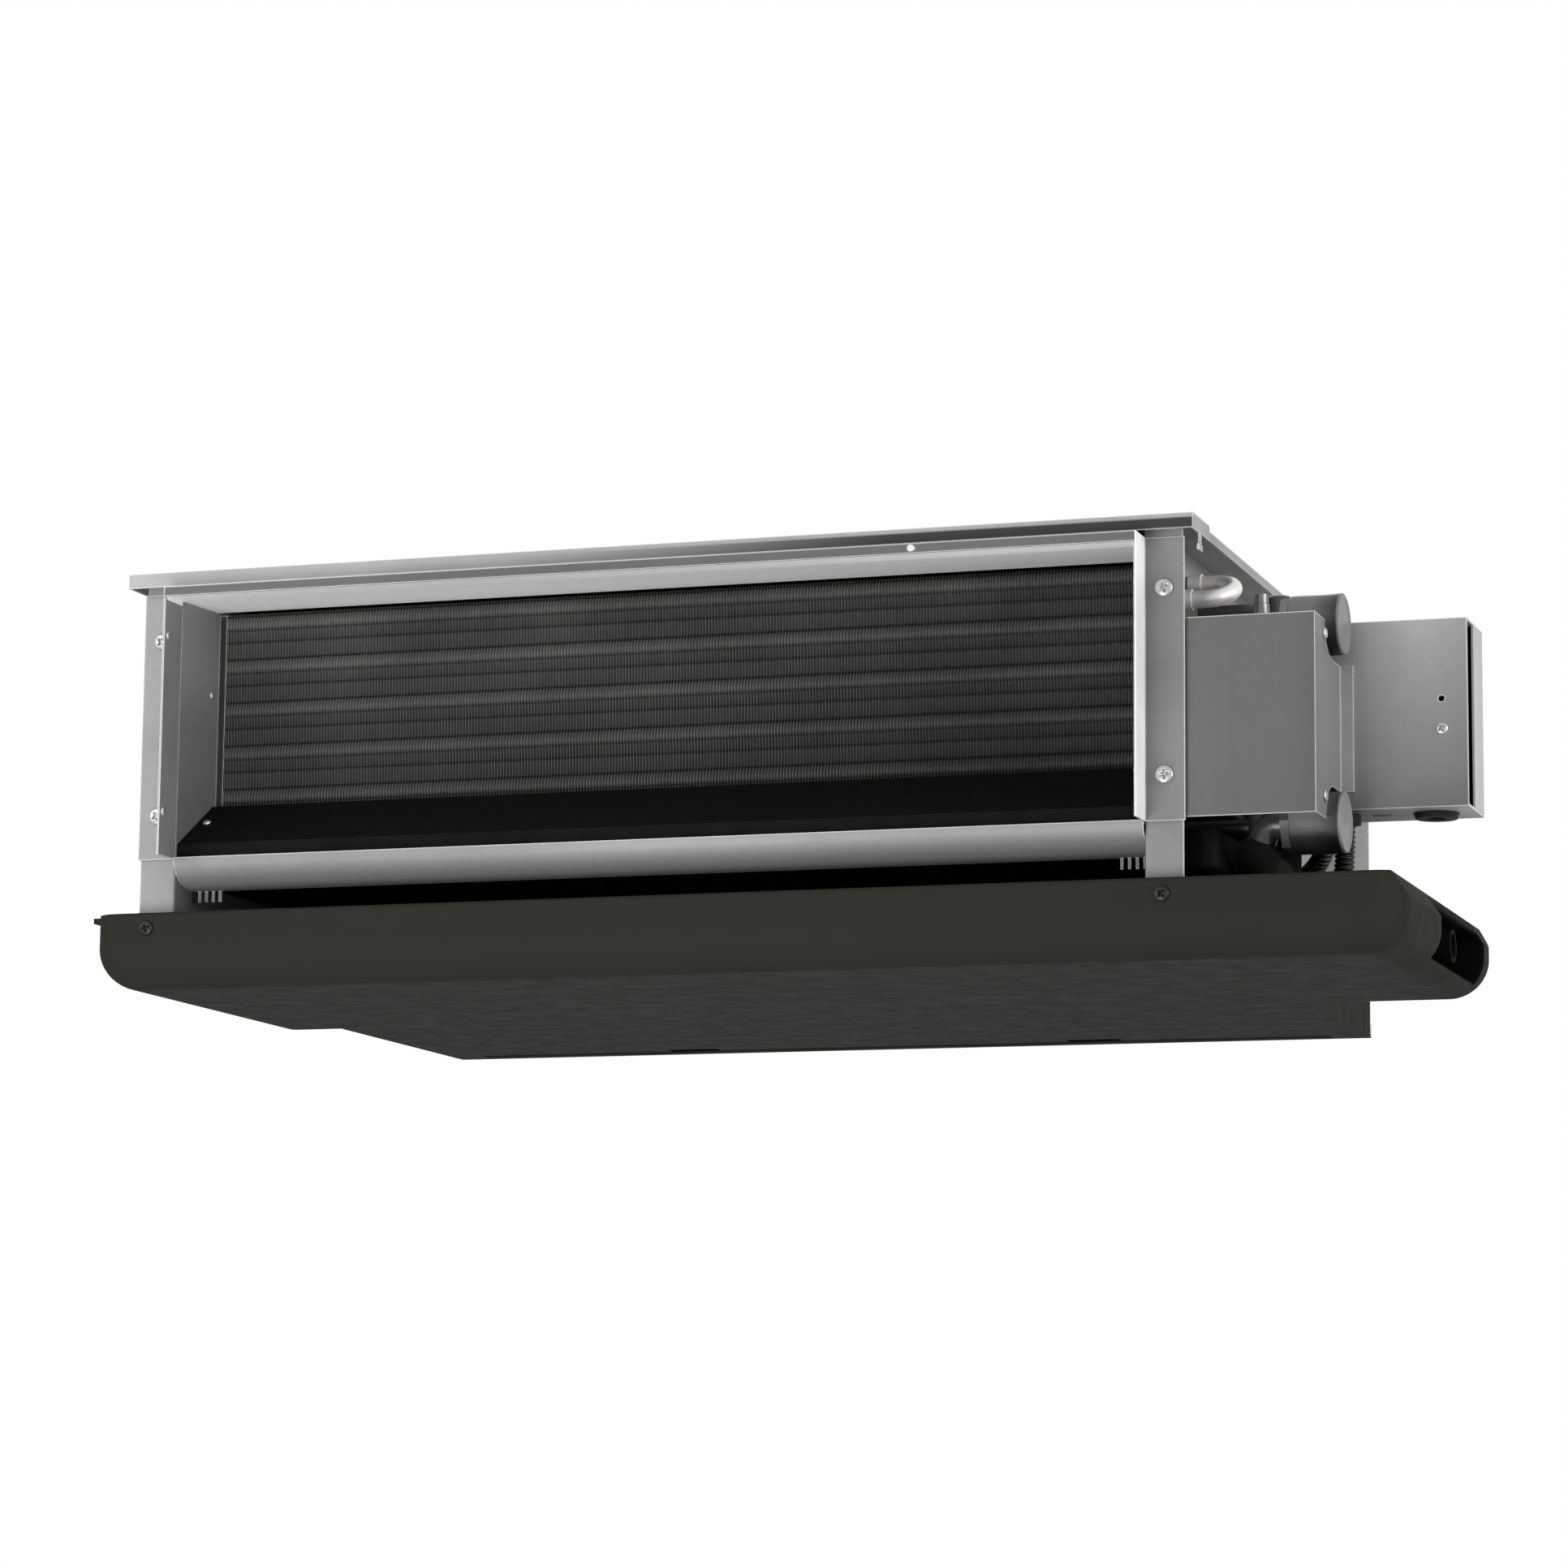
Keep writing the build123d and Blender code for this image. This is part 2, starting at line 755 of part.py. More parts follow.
# Headers: upright manifolds with three feeders each and a bent water pipe to the front.
connection_y = front + connection_setback
connection_upper_z = tube_place(0, tubes_in_row - 2)[1] + connection_rise
connection_lower_z = bottom + connection_lower
pipe_end_x = union_x + pipe_socket
outlet_y = tube_place(0, 0)[0]
inlet_y = tube_place(2, 0)[0]
outlet_low = tube_place(0, 0)[1] - header_foot
outlet_high = connection_upper_z + header_tail
inlet_low = tube_place(2, 1)[1] - header_tail
inlet_high = tube_place(2, 5)[1] + header_tail
with BuildPart() as outlet_header:
    with BuildSketch(Plane.XY.offset(outlet_low)):
        with Locations((header_x, outlet_y)):
            Circle(header_r)
    extrude(amount=outlet_high - outlet_low)
    fillet(edges().filter_by(GeomType.CIRCLE), header_dome)
    for step in range(0, tubes_in_row, 2):
        depth, height = tube_place(0, step)
        with BuildSketch(Plane(origin=(joint_x, depth, height), z_dir=(1, 0, 0))):
            Circle(tube_r)
        extrude(amount=header_x - joint_x)
    with BuildLine() as outlet_run:
        FilletPolyline(
            (header_x, outlet_y, connection_upper_z),
            (header_x, connection_y, connection_upper_z),
            (pipe_end_x, connection_y, connection_upper_z),
            radius=elbow_r,
        )
    with BuildSketch(Plane(origin=outlet_run.line @ 0, z_dir=outlet_run.line % 0)):
        Circle(pipe_r)
    sweep(path=outlet_run.line)
outlet_header.part.label = "outlet_header"
export_step(outlet_header.part, "parts/outlet_header.step")

cross_z = bottom + cross_pipe_height
inlet_points = (
    (header_x, inlet_y, inlet_low + header_tail),
    (header_x, inlet_y, cross_z),
    (header_x, connection_y, cross_z),
    (header_x + rising_reach, connection_y, connection_lower_z),
    (pipe_end_x, connection_y, connection_lower_z),
)
with BuildPart() as inlet_header:
    with BuildSketch(Plane.XY.offset(inlet_low)):
        with Locations((header_x, inlet_y)):
            Circle(header_r)
    extrude(amount=inlet_high - inlet_low)
    fillet(edges().filter_by(GeomType.CIRCLE), header_dome)
    for step in range(1, tubes_in_row, 2):
        depth, height = tube_place(2, step)
        with BuildSketch(Plane(origin=(joint_x, depth, height), z_dir=(1, 0, 0))):
            Circle(tube_r)
        extrude(amount=header_x - joint_x)
    with BuildLine() as inlet_run:
        FilletPolyline(*inlet_points, radius=[wide_elbow_r, wide_elbow_r, rising_elbow_r])
    with BuildSketch(Plane(origin=inlet_run.line @ 0, z_dir=inlet_run.line % 0)):
        Circle(pipe_r)
    sweep(path=inlet_run.line)
inlet_header.part.label = "inlet_header"
export_step(inlet_header.part, "parts/inlet_header.step")

# Black foam sleeve round the low inlet pipe.
with BuildPart() as pipe_foam:
    with BuildLine() as foam_run:
        FilletPolyline(
            (header_x, inlet_y, inlet_low - foam_start),
            (header_x, inlet_y, cross_z),
            (header_x, connection_y, cross_z),
            (
                header_x + foam_rise * rising_reach,
                connection_y,
                cross_z + foam_rise * (connection_lower_z - cross_z),
            ),
            radius=wide_elbow_r,
        )
    with BuildSketch(Plane(origin=foam_run.line @ 0, z_dir=foam_run.line % 0)):
        Circle(pipe_r + foam_wall)
        Circle(pipe_r + foam_fit, mode=Mode.SUBTRACT)
    sweep(path=foam_run.line)
pipe_foam.part.label = "pipe_foam"
export_step(pipe_foam.part, "parts/pipe_foam.step")

# Water unions: hexagon, plain barrel and bore, one on each water pipe.
connections = ((connection_y, connection_upper_z), (connection_y, connection_lower_z))
with BuildPart() as water_unions:
    for spot in connections:
        with BuildSketch(Plane.YZ.offset(union_x)):
            with Locations(spot):
                RegularPolygon(union_hex / 2, 6, major_radius=False)
        extrude(amount=union_hex_length)
        with BuildSketch(Plane.YZ.offset(union_x + union_hex_length)):
            with Locations(spot):
                Circle(union_r)
        extrude(amount=union_length)
        with BuildSketch(Plane.YZ.offset(union_x)):
            with Locations(spot):
                Circle(pipe_r + foam_fit)
        extrude(amount=pipe_socket, mode=Mode.SUBTRACT)
        with BuildSketch(Plane.YZ.offset(union_x + pipe_socket)):
            with Locations(spot):
                Circle(pipe_r - pipe_wall)
        extrude(amount=pipe_socket, mode=Mode.SUBTRACT)
        with BuildSketch(Plane.YZ.offset(union_x + 2 * pipe_socket)):
            with Locations(spot):
                Circle(union_bore_r)
        extrude(amount=union_length, mode=Mode.SUBTRACT)
water_unions.part.label = "water_unions"
export_step(water_unions.part, "parts/water_unions.step")

# Push-on protective caps over the union barrels.
for (spot, name) in zip(connections, ("cap_upper", "cap_lower")):
    with BuildPart() as cap:
        with BuildSketch(Plane.YZ.offset(cap_x)):
            with Locations(spot):
                Circle(cap_r)
        extrude(amount=cap_length)
        fillet(faces().sort_by(Axis.X)[-1].edges(), cap_edge)
        with BuildSketch(Plane.YZ.offset(cap_x)):
            with Locations(spot):
                Circle(union_r + cap_fit)
        extrude(amount=cap_length - cap_end, mode=Mode.SUBTRACT)
    cap.part.label = name
    export_step(cap.part, f"parts/{name}.step")

# Air vent on the outlet header: a brass body and a slotted bleed screw that turns in it.
with BuildPart() as vent_body:
    with BuildSketch(Plane.XY.offset(outlet_high)):
        with Locations((header_x, outlet_y)):
            Circle(vent_r)
    extrude(amount=vent_height)
vent_body.part.label = "vent_body"
export_step(vent_body.part, "parts/vent_body.step")

vent_top = outlet_high + vent_height + vent_fit
with BuildPart() as vent_screw:
    with BuildSketch(Plane.XY.offset(vent_top)):
        with Locations((header_x, outlet_y)):
            Circle(vent_knob_r)
    extrude(amount=vent_knob_height)
    with BuildSketch(Plane.XY.offset(vent_top + vent_knob_height)):
        with Locations((header_x, outlet_y)):
            Rectangle(2 * vent_knob_r + 1, vent_slot)
    extrude(amount=-vent_slot, mode=Mode.SUBTRACT)
vent_screw.part.label = "vent_screw"
export_step(vent_screw.part, "parts/vent_screw.step")

# Drain tray: deep dark moulding under the front half, with a drain niche in its right wall,
# which leans inwards above the niche.
tray_x0 = left - tray_left
tray_x1 = right + tray_right
tray_y0 = front - tray_nose
tray_y1 = tray_y0 + tray_depth
tray_top = bottom + tray_rim
tray_low = bottom - tray_sink
tray_mid_x = (tray_x0 + tray_x1) / 2
tray_mid_y = (tray_y0 + tray_y1) / 2
niche_y = front + niche_front + niche_length / 2
niche_z = bottom + niche_floor + niche_height / 2
niche_x = tray_x1 - niche_depth
drain_y = front + drain_setback
drain_z = bottom + drain_height
lean_spots = (
    (tray_x1 - tray_lean, tray_top),
    (tray_x1, tray_top),
    (tray_x1, tray_top - tray_lean_height),
)
with BuildPart() as tray_cavity:
    with BuildSketch(Plane.XY.offset(tray_top)):
        with Locations((tray_mid_x, tray_mid_y)):
            Rectangle(tray_x1 - tray_x0 - 2 * tray_wall, tray_depth - 2 * tray_wall)
        fillet(vertices(), tray_corner - tray_wall)
    extrude(amount=-(tray_top - tray_low - tray_wall))
    fillet(faces().sort_by(Axis.Z)[0].edges(), tray_bend - tray_wall)
    with BuildSketch(Plane.XZ.offset(-tray_y1)):
        with Locations((-tray_wall, 0)):
            Polygon(*lean_spots, align=None)
    extrude(amount=tray_depth, mode=Mode.SUBTRACT)
    with BuildSketch(Plane.YZ.offset(niche_x - tray_wall)):
        with Locations((niche_y, niche_z)):
            Rectangle(niche_length + 2 * tray_wall, niche_height + 2 * tray_wall)
    extrude(amount=niche_depth + 2 * tray_wall, mode=Mode.SUBTRACT)
with BuildPart() as drain_tray:
    with BuildSketch(Plane.XY.offset(tray_top)):
        with Locations((tray_mid_x, tray_mid_y)):
            Rectangle(tray_x1 - tray_x0, tray_depth)
        fillet(vertices(), tray_corner)
    extrude(amount=-(tray_top - tray_low))
    fillet(faces().sort_by(Axis.Z)[0].edges(), tray_bend)
    with BuildSketch(Plane.XZ.offset(-tray_y1)):
        Polygon(*lean_spots, align=None)
    extrude(amount=tray_depth, mode=Mode.SUBTRACT)
    add(tray_cavity.part, mode=Mode.SUBTRACT)
    with BuildSketch(Plane.YZ.offset(niche_x)):
        with Locations((niche_y, niche_z)):
            Rectangle(niche_length, niche_height)
    extrude(amount=niche_depth + 1, mode=Mode.SUBTRACT)
    with BuildSketch(Plane.YZ.offset(niche_x)):
        with Locations((drain_y, drain_z)):
            Circle(drain_r)
    extrude(amount=-tray_wall, mode=Mode.SUBTRACT)
    with BuildSketch(Plane.XY.offset(tray_top)):
        with Locations((tray_x0 + tray_wall / 2 - tray_hook / 2, tray_mid_y)):
            Rectangle(tray_hook + tray_wall, tray_depth - 2 * tray_corner)
    extrude(amount=-tray_hook_drop)
    for side in (-1, 1):
        with BuildSketch(Plane.XZ.offset(-front)):
            with Locations((side * tray_screw_x, bottom + tray_screw_height)):
                Circle(boss_r)
        extrude(amount=tray_nose - tray_wall)
        with BuildSketch(Plane.XZ.offset(-front)):
            with Locations((side * tray_screw_x, bottom + tray_screw_height)):
                Circle(screw_hole_r)
        extrude(amount=tray_nose, mode=Mode.SUBTRACT)
    with BuildSketch(Plane.XZ.offset(-(tray_y1 + 1))):
        with Locations((0, bottom + tray_rim)):
            Rectangle(2 * (web_outer + casing_gap), 2 * tray_rim)
    extrude(amount=tray_bend, mode=Mode.SUBTRACT)
    rib_start = front + bottom_front_gap
    rib_end = tray_y1 - tray_bend - tray_wall
    rib_height = tray_sink - tray_wall
    with BuildSketch(Plane.XY.offset(tray_low + tray_wall)):
        with Locations((0, (rib_start + rib_end) / 2)):
            with GridLocations(2 * web_inner / tray_rib_count, 0, tray_rib_count, 1):
                Rectangle(tray_rib, rib_end - rib_start)
    extrude(amount=rib_height)
drain_tray.part.label = "drain_tray"
export_step(drain_tray.part, "parts/drain_tray.step")

# Two dark screws through the tray lip into the front legs.
with BuildPart() as tray_screws:
    for side in (-1, 1):
        with BuildSketch(Plane.XZ.offset(-tray_y0)):
            with Locations((side * tray_screw_x, bottom + tray_screw_height)):
                Circle(tray_screw_head_r)
        extrude(amount=screw_head_height, taper=screw_taper)
        with BuildSketch(Plane.XZ.offset(-tray_y0)):
            with Locations((side * tray_screw_x, bottom + tray_screw_height)):
                Circle(screw_shank_r)
        extrude(amount=-(tray_nose + screw_shank_length))
tray_screws.part.label = "tray_screws"
export_step(tray_screws.part, "parts/tray_screws.step")

# Drain spigot: hose stub pushed through the niche wall from inside the tray.
with BuildPart() as drain_spigot:
    with BuildSketch(Plane.YZ.offset(niche_x - tray_wall)):
        with Locations((drain_y, drain_z)):
            Circle(drain_r - drain_fit)
    extrude(amount=tray_wall)
    with BuildSketch(Plane.YZ.offset(niche_x)):
        with Locations((drain_y, drain_z)):
            Circle(drain_stub_r)
    extrude(amount=drain_length)
    with BuildSketch(Plane.YZ.offset(niche_x - tray_wall - drain_flange)):
        with Locations((drain_y, drain_z)):
            Circle(drain_flange_r)
    extrude(amount=drain_flange)
    with BuildSketch(Plane.YZ.offset(niche_x - tray_wall - drain_flange)):
        with Locations((drain_y, drain_z)):
            Circle(drain_bore_r)
    extrude(amount=drain_flange + tray_wall + drain_length, mode=Mode.SUBTRACT)
drain_spigot.part.label = "drain_spigot"
export_step(drain_spigot.part, "parts/drain_spigot.step")

# Pipe cover: face behind the frame flange, return to the electrical box and a screwed band.
cover_front = front + sheet
cover_x = right + cover_reach
box_y = front + box_front
cover_z0 = bottom + cover_sill
cover_z1 = connection_upper_z - cover_head_drop
cover_screw_spots = [
    (front + setback, bottom + height) for setback, height in (cover_screw_upper, cover_screw_lower)
]
with BuildPart() as pipe_cover:
    with BuildSketch(Plane.XY.offset(cover_z0)):
        with BuildLine():
            Polyline(
                (web_outer + bend_radius, cover_front),
                (cover_x, cover_front),
                (cover_x, box_y - sheet),
                (cover_x + cover_band, box_y - sheet),
                (cover_x + cover_band, box_y),
                (cover_x - sheet, box_y),
                (cover_x - sheet, cover_front + sheet),
                (web_outer + bend_radius, cover_front + sheet),
                close=True,
            )
        make_face()
    extrude(amount=cover_z1 - cover_z0)
    with BuildSketch(Plane.YZ.offset(cover_x - 2 * sheet)):
        with Locations(*connections):
            Circle(notch_r)
        for _, height in connections:
            with Locations((connection_y + notch_r, height)):
                Rectangle(2 * notch_r, 2 * notch_r)
    extrude(amount=cover_band + 3 * sheet, mode=Mode.SUBTRACT)
    with BuildSketch(Plane.YZ.offset(cover_x - 2 * sheet)):
        with Locations(*cover_screw_spots):
            Circle(screw_hole_r)
    extrude(amount=3 * sheet, mode=Mode.SUBTRACT)
    with BuildSketch(Plane.XZ.offset(-cover_front)):
        with Locations((screw_x, frame_screw_zs[0])):
            Circle(screw_hole_r)
    extrude(amount=-2 * sheet, mode=Mode.SUBTRACT)
pipe_cover.part.label = "pipe_cover"
export_step(pipe_cover.part, "parts/pipe_cover.step")

# Pan-head screws in the return of the pipe cover, one beside each notch.
with BuildPart() as cover_screws:
    for spot in cover_screw_spots:
        with BuildSketch(Plane.YZ.offset(cover_x)):
            with Locations(spot):
                Circle(cover_screw_r)
        extrude(amount=cover_screw_height, taper=screw_taper)
        with BuildSketch(Plane.YZ.offset(cover_x)):
            with Locations(spot):
                Circle(screw_shank_r)
        extrude(amount=-cover_screw_length)
cover_screws.part.label = "cover_screws"
export_step(cover_screws.part, "parts/cover_screws.step")

# Electrical box base: back, floor, roof and left wall, with a narrow right lip and a lid stay.
box_x0 = right + box_left
box_x1 = right + box_right
box_back = box_y + box_depth
box_z0 = bottom + box_sill
box_z1 = box_z0 + box_height
box_mid_x = (box_x0 + box_x1) / 2
box_mid_z = (box_z0 + box_z1) / 2
lid_screw_spot = (right + lid_screw_x, bottom + lid_screw_height)
lid_hole_spot = (right + lid_screw_x, bottom + lid_hole_height)
cable_spot = (right + cable_hole_x, front + cable_hole_setback)
motor_gland = (right + motor_gland_x, front + motor_gland_setback)
sensor_gland = (right + sensor_gland_x, front + sensor_gland_setback)
conduit_spots = (motor_gland, sensor_gland)
with BuildPart() as electrical_box:
    with BuildSketch(Plane.XZ.offset(-(box_y + sheet))):
        with Locations((box_mid_x, box_mid_z)):
            Rectangle(box_x1 - box_x0, box_height)
    extrude(amount=-(box_depth - sheet))
    with BuildSketch(Plane.XZ.offset(-(box_y + sheet))):
        with Locations((box_mid_x, box_mid_z)):
            Rectangle(box_x1 - box_x0 - 2 * sheet, box_height - 2 * sheet)
    extrude(amount=-(box_depth - 2 * sheet), mode=Mode.SUBTRACT)
    with BuildSketch(Plane.YZ.offset(box_x1)):
        with Locations(((box_y + box_back - box_side_lip) / 2, box_mid_z)):
            Rectangle(box_depth - box_side_lip, box_height - 2 * sheet)
    extrude(amount=-sheet, mode=Mode.SUBTRACT)
    with BuildSketch(Plane.XY.offset(box_z0)):
        with Locations(cable_spot):
            Circle(cable_hole_r)
        with Locations(*conduit_spots):
            Circle(conduit_r + conduit_fit)
        with Locations((right + slot_x, front + cable_hole_setback)):
            Rectangle(slot_width, slot_depth)
    extrude(amount=sheet, mode=Mode.SUBTRACT)
    stay_z = (lid_screw_spot[1] + lid_hole_spot[1]) / 2
    with BuildSketch(Plane.XZ.offset(-(box_y + sheet))):
        with Locations((right + lid_screw_x, stay_z)):
            Rectangle(stay_width, stay_height)
        with Locations(lid_screw_spot, lid_hole_spot):
            Circle(lid_hole_r, mode=Mode.SUBTRACT)
    extrude(amount=-sheet)
    with BuildSketch(Plane.XY.offset(stay_z - stay_height / 2)):
        with Locations((right + lid_screw_x - stay_width / 2, (box_y + sheet + box_back - sheet) / 2)):
            Rectangle(sheet, box_depth - 2 * sheet)
    extrude(amount=stay_height)
electrical_box.part.label = "electrical_box"
export_step(electrical_box.part, "parts/electrical_box.step")

# Lid of the electrical box: a plain front plate with one screw and one free hole.
with BuildPart() as box_lid:
    with BuildSketch(Plane.XZ.offset(-(box_y + sheet))):
        with Locations((box_mid_x, box_mid_z)):
            Rectangle(box_x1 - box_x0, box_height)
        with Locations(lid_screw_spot, lid_hole_spot):
            Circle(lid_hole_r, mode=Mode.SUBTRACT)
    extrude(amount=sheet)
box_lid.part.label = "box_lid"
export_step(box_lid.part, "parts/box_lid.step")

with BuildPart() as lid_screw:
    with BuildSketch(Plane.XZ.offset(-box_y)):
        with Locations(lid_screw_spot):
            Circle(lid_screw_r)
    extrude(amount=screw_head_height, taper=screw_taper)
    with BuildSketch(Plane.XZ.offset(-box_y)):
        with Locations(lid_screw_spot):
            Circle(lid_hole_r - lid_screw_fit)
    extrude(amount=-screw_shank_length)
lid_screw.part.label = "lid_screw"
export_step(lid_screw.part, "parts/lid_screw.step")

# Dark insert that closes the gap between the lid and the right lip of the box.
with BuildPart() as box_insert_panel:
    with BuildSketch(Plane.YZ.offset(box_x1 - box_insert_inset)):
        with Locations(((box_y + box_back) / 2, box_mid_z)):
            Rectangle(box_depth - 2 * sheet, box_height - 2 * sheet)
    extrude(amount=-box_insert)
box_insert_panel.part.label = "box_insert_panel"
export_step(box_insert_panel.part, "parts/box_insert_panel.step")

# Bracket that carries the box from the side web, joggled to clear the rear header.
arm_y = front + bracket_setback
bracket_z = box_mid_z - bracket_height / 2
with BuildPart() as box_bracket:
    with BuildSketch(Plane.XY.offset(bracket_z)):
        with BuildLine():
            Polyline(
                (web_outer, arm_y),
                (box_x0 + sheet, arm_y),
                (box_x0 + sheet, box_back),
                (box_x0 + bracket_overlap, box_back),
                (box_x0 + bracket_overlap, box_back + sheet),
                (box_x0 + 2 * sheet, box_back + sheet),
                (box_x0 + 2 * sheet, arm_y + sheet),
                (web_outer + sheet, arm_y + sheet),
                (web_outer + sheet, arm_y + bracket_foot),
                (web_outer, arm_y + bracket_foot),
                close=True,
            )
        make_face()
    extrude(amount=bracket_height)
box_bracket.part.label = "box_bracket"
export_step(box_bracket.part, "parts/box_bracket.step")

# Cable grommet in the floor of the box, with a bore for the supply cable.
with BuildPart() as cable_grommet:
    with BuildSketch(Plane.XY.offset(box_z0)):
        with Locations(cable_spot):
            Circle(grommet_rim_r)
    extrude(amount=-grommet_rim, taper=grommet_taper)
    with BuildSketch(Plane.XY.offset(box_z0)):
        with Locations(cable_spot):
            Circle(cable_hole_r - grommet_groove_fit)
    extrude(amount=sheet)
    with BuildSketch(Plane.XY.offset(box_z0 + sheet)):
        with Locations(cable_spot):
            Circle(cable_hole_r + grommet_lip)
    extrude(amount=sheet)
    with BuildSketch(Plane.XY.offset(box_z0 - grommet_rim)):
        with Locations(cable_spot):
            Circle(cable_bore_r)
    extrude(amount=grommet_rim + 2 * sheet, mode=Mode.SUBTRACT)
cable_grommet.part.label = "cable_grommet"
export_step(cable_grommet.part, "parts/cable_grommet.step")

# Terminal block on the back wall of the box.
terminal_face = box_back - sheet
terminal_z = box_z0 + terminal_share * box_height
terminal_x = box_x0 + terminal_share * (box_x1 - box_x0)
with BuildPart() as terminal_block:
    with BuildSketch(Plane.XZ.offset(-terminal_face)):
        with Locations((terminal_x, terminal_z)):
            Rectangle(terminal_length, terminal_height)
    extrude(amount=terminal_depth)
    with BuildSketch(Plane.XZ.offset(-(terminal_face - terminal_depth))):
        with Locations((terminal_x, terminal_z)):
            with GridLocations(terminal_length / terminal_ways, 0, terminal_ways, 1):
                Rectangle(terminal_length / terminal_ways - terminal_wall, terminal_height / 2)
    extrude(amount=-terminal_depth / 2, mode=Mode.SUBTRACT)
terminal_block.part.label = "terminal_block"
export_step(terminal_block.part, "parts/terminal_block.step")

# Motor capacitor lying against the back wall above the terminals.
capacitor_z = box_z1 - sheet - capacitor_r - capacitor_gap
with BuildPart() as capacitor:
    with BuildSketch(Plane.YZ.offset(box_x0 + capacitor_gap)):
        with Locations((terminal_face - capacitor_r, capacitor_z)):
            Circle(capacitor_r)
    extrude(amount=capacitor_length)
capacitor.part.label = "capacitor"
export_step(capacitor.part, "parts/capacitor.step")

# Two cable conduits from the box floor down to bushings in the side web.
motor_route = (
    (*motor_gland, box_z0 - gland_head),
    (*motor_gland, box_z0 - motor_lead_drop),
    (right + motor_sag_x, front + motor_sag_setback, bottom + motor_sag_height),
    (right + motor_lead_x, *motor_bushing),
    (web_outer + bushing_head, *motor_bushing),
)
sensor_route = (
    (*sensor_gland, box_z0 - gland_head),
    (*sensor_gland, bottom + sensor_lead_height),
    (right + sensor_sag_x, front + sensor_sag_setback, bottom + sensor_sag_height),
    (right + sensor_lead_x, *sensor_bushing),
    (web_outer + bushing_head, *sensor_bushing),
)


def corner_radii(points):
    """Largest easy radius at each corner: 0.45 of the shorter run over tan(half the turn)."""
    radii = []
    for before, corner, after in zip(points, points[1:], points[2:]):
        arriving = Vector(*corner) - Vector(*before)
        leaving = Vector(*after) - Vector(*corner)
        half_turn = radians(arriving.get_angle(leaving)) / 2
        radii.append(0.45 * min(arriving.length, leaving.length) * cos(half_turn) / sin(half_turn))
    return radii


for route, name in ((motor_route, "conduit_motor"), (sensor_route, "conduit_sensor")):
    radii = corner_radii(route)
    with BuildPart() as conduit:
        with BuildLine() as lead:
            FilletPolyline(*route, radius=radii)
        with BuildSketch(Plane(origin=lead.line @ 0, z_dir=lead.line % 0)):
            Circle(conduit_r)
        sweep(path=lead.line)
    conduit.part.label = name
    export_step(conduit.part, f"parts/{name}.step")

# Conduit glands under the box floor and bushings on the side web.
with BuildPart() as conduit_glands:
    for spot in conduit_spots:
        with BuildSketch(Plane.XY.offset(box_z0)):
            with Locations(spot):
                Circle(gland_r)
        extrude(amount=-gland_head)
        with BuildSketch(Plane.XY.offset(box_z0)):
            with Locations(spot):
                Circle(conduit_r)
        extrude(amount=2 * sheet)
conduit_glands.part.label = "conduit_glands"
export_step(conduit_glands.part, "parts/conduit_glands.step")

with BuildPart() as web_bushings:
    for spot in (motor_bushing, sensor_bushing):
        with BuildSketch(Plane.YZ.offset(web_outer)):
            with Locations(spot):
                Circle(bushing_r)
        extrude(amount=bushing_head)
        with BuildSketch(Plane.YZ.offset(web_outer)):
            with Locations(spot):
                Circle(bushing_r - bushing_lip - bushing_fit)
        extrude(amount=-sheet)
web_bushings.part.label = "web_bushings"
export_step(web_bushings.part, "parts/web_bushings.step")

# Fan deck: upright partition behind the coil with an outlet for each scroll.
deck_y = front + deck_setback
fan_y = front + fan_setback
fan_z = bottom + fan_height
throat_top = -throat_gap
scroll_end_r = throat_top - fan_z
scroll_start_r = wheel_r + scroll_gap
start_rad = radians(scroll_start_angle)
tongue_z = fan_z + scroll_start_r * sin(start_rad) - tongue_drop
scroll_centre = scroll_inner + scroll_width / 2
floor_z = bottom + sheet
foam_z = -sheet - foam_sheet
deck_width = 2 * (web_inner - sheet)
throat_mid = (throat_top + tongue_z) / 2
throat_height = throat_top - tongue_z - 2 * sheet
with BuildPart() as fan_deck:
    with BuildSketch(Plane.XZ.offset(-deck_y)):
        with Locations((0, (floor_z + foam_z) / 2)):
            Rectangle(deck_width, foam_z - floor_z)
        with Locations((-scroll_centre, throat_mid), (scroll_centre, throat_mid)):
            Rectangle(scroll_width - 2 * sheet, throat_height, mode=Mode.SUBTRACT)
    extrude(amount=-sheet)
    with BuildSketch(Plane.XZ.offset(-deck_y)):
        with Locations((0, (floor_z + foam_z) / 2)):
            with GridLocations(0, foam_z - floor_z - sheet, 1, 2):
                Rectangle(deck_width, sheet)
    extrude(amount=deck_lip)
fan_deck.part.label = "fan_deck"
export_step(fan_deck.part, "parts/fan_deck.step")

# Scroll housings: spiral wrap growing from the tongue round to the top of the throat.
scroll_turn = 450 - scroll_start_angle


def scroll_point(share, inset):
    """Point of the spiral at a share of its turn, moved inwards by the inset."""
    angle = radians(scroll_start_angle + share * scroll_turn)
    reach = scroll_start_r + (scroll_end_r - scroll_start_r) * share - inset
    return fan_y + reach * cos(angle), fan_z + reach * sin(angle)


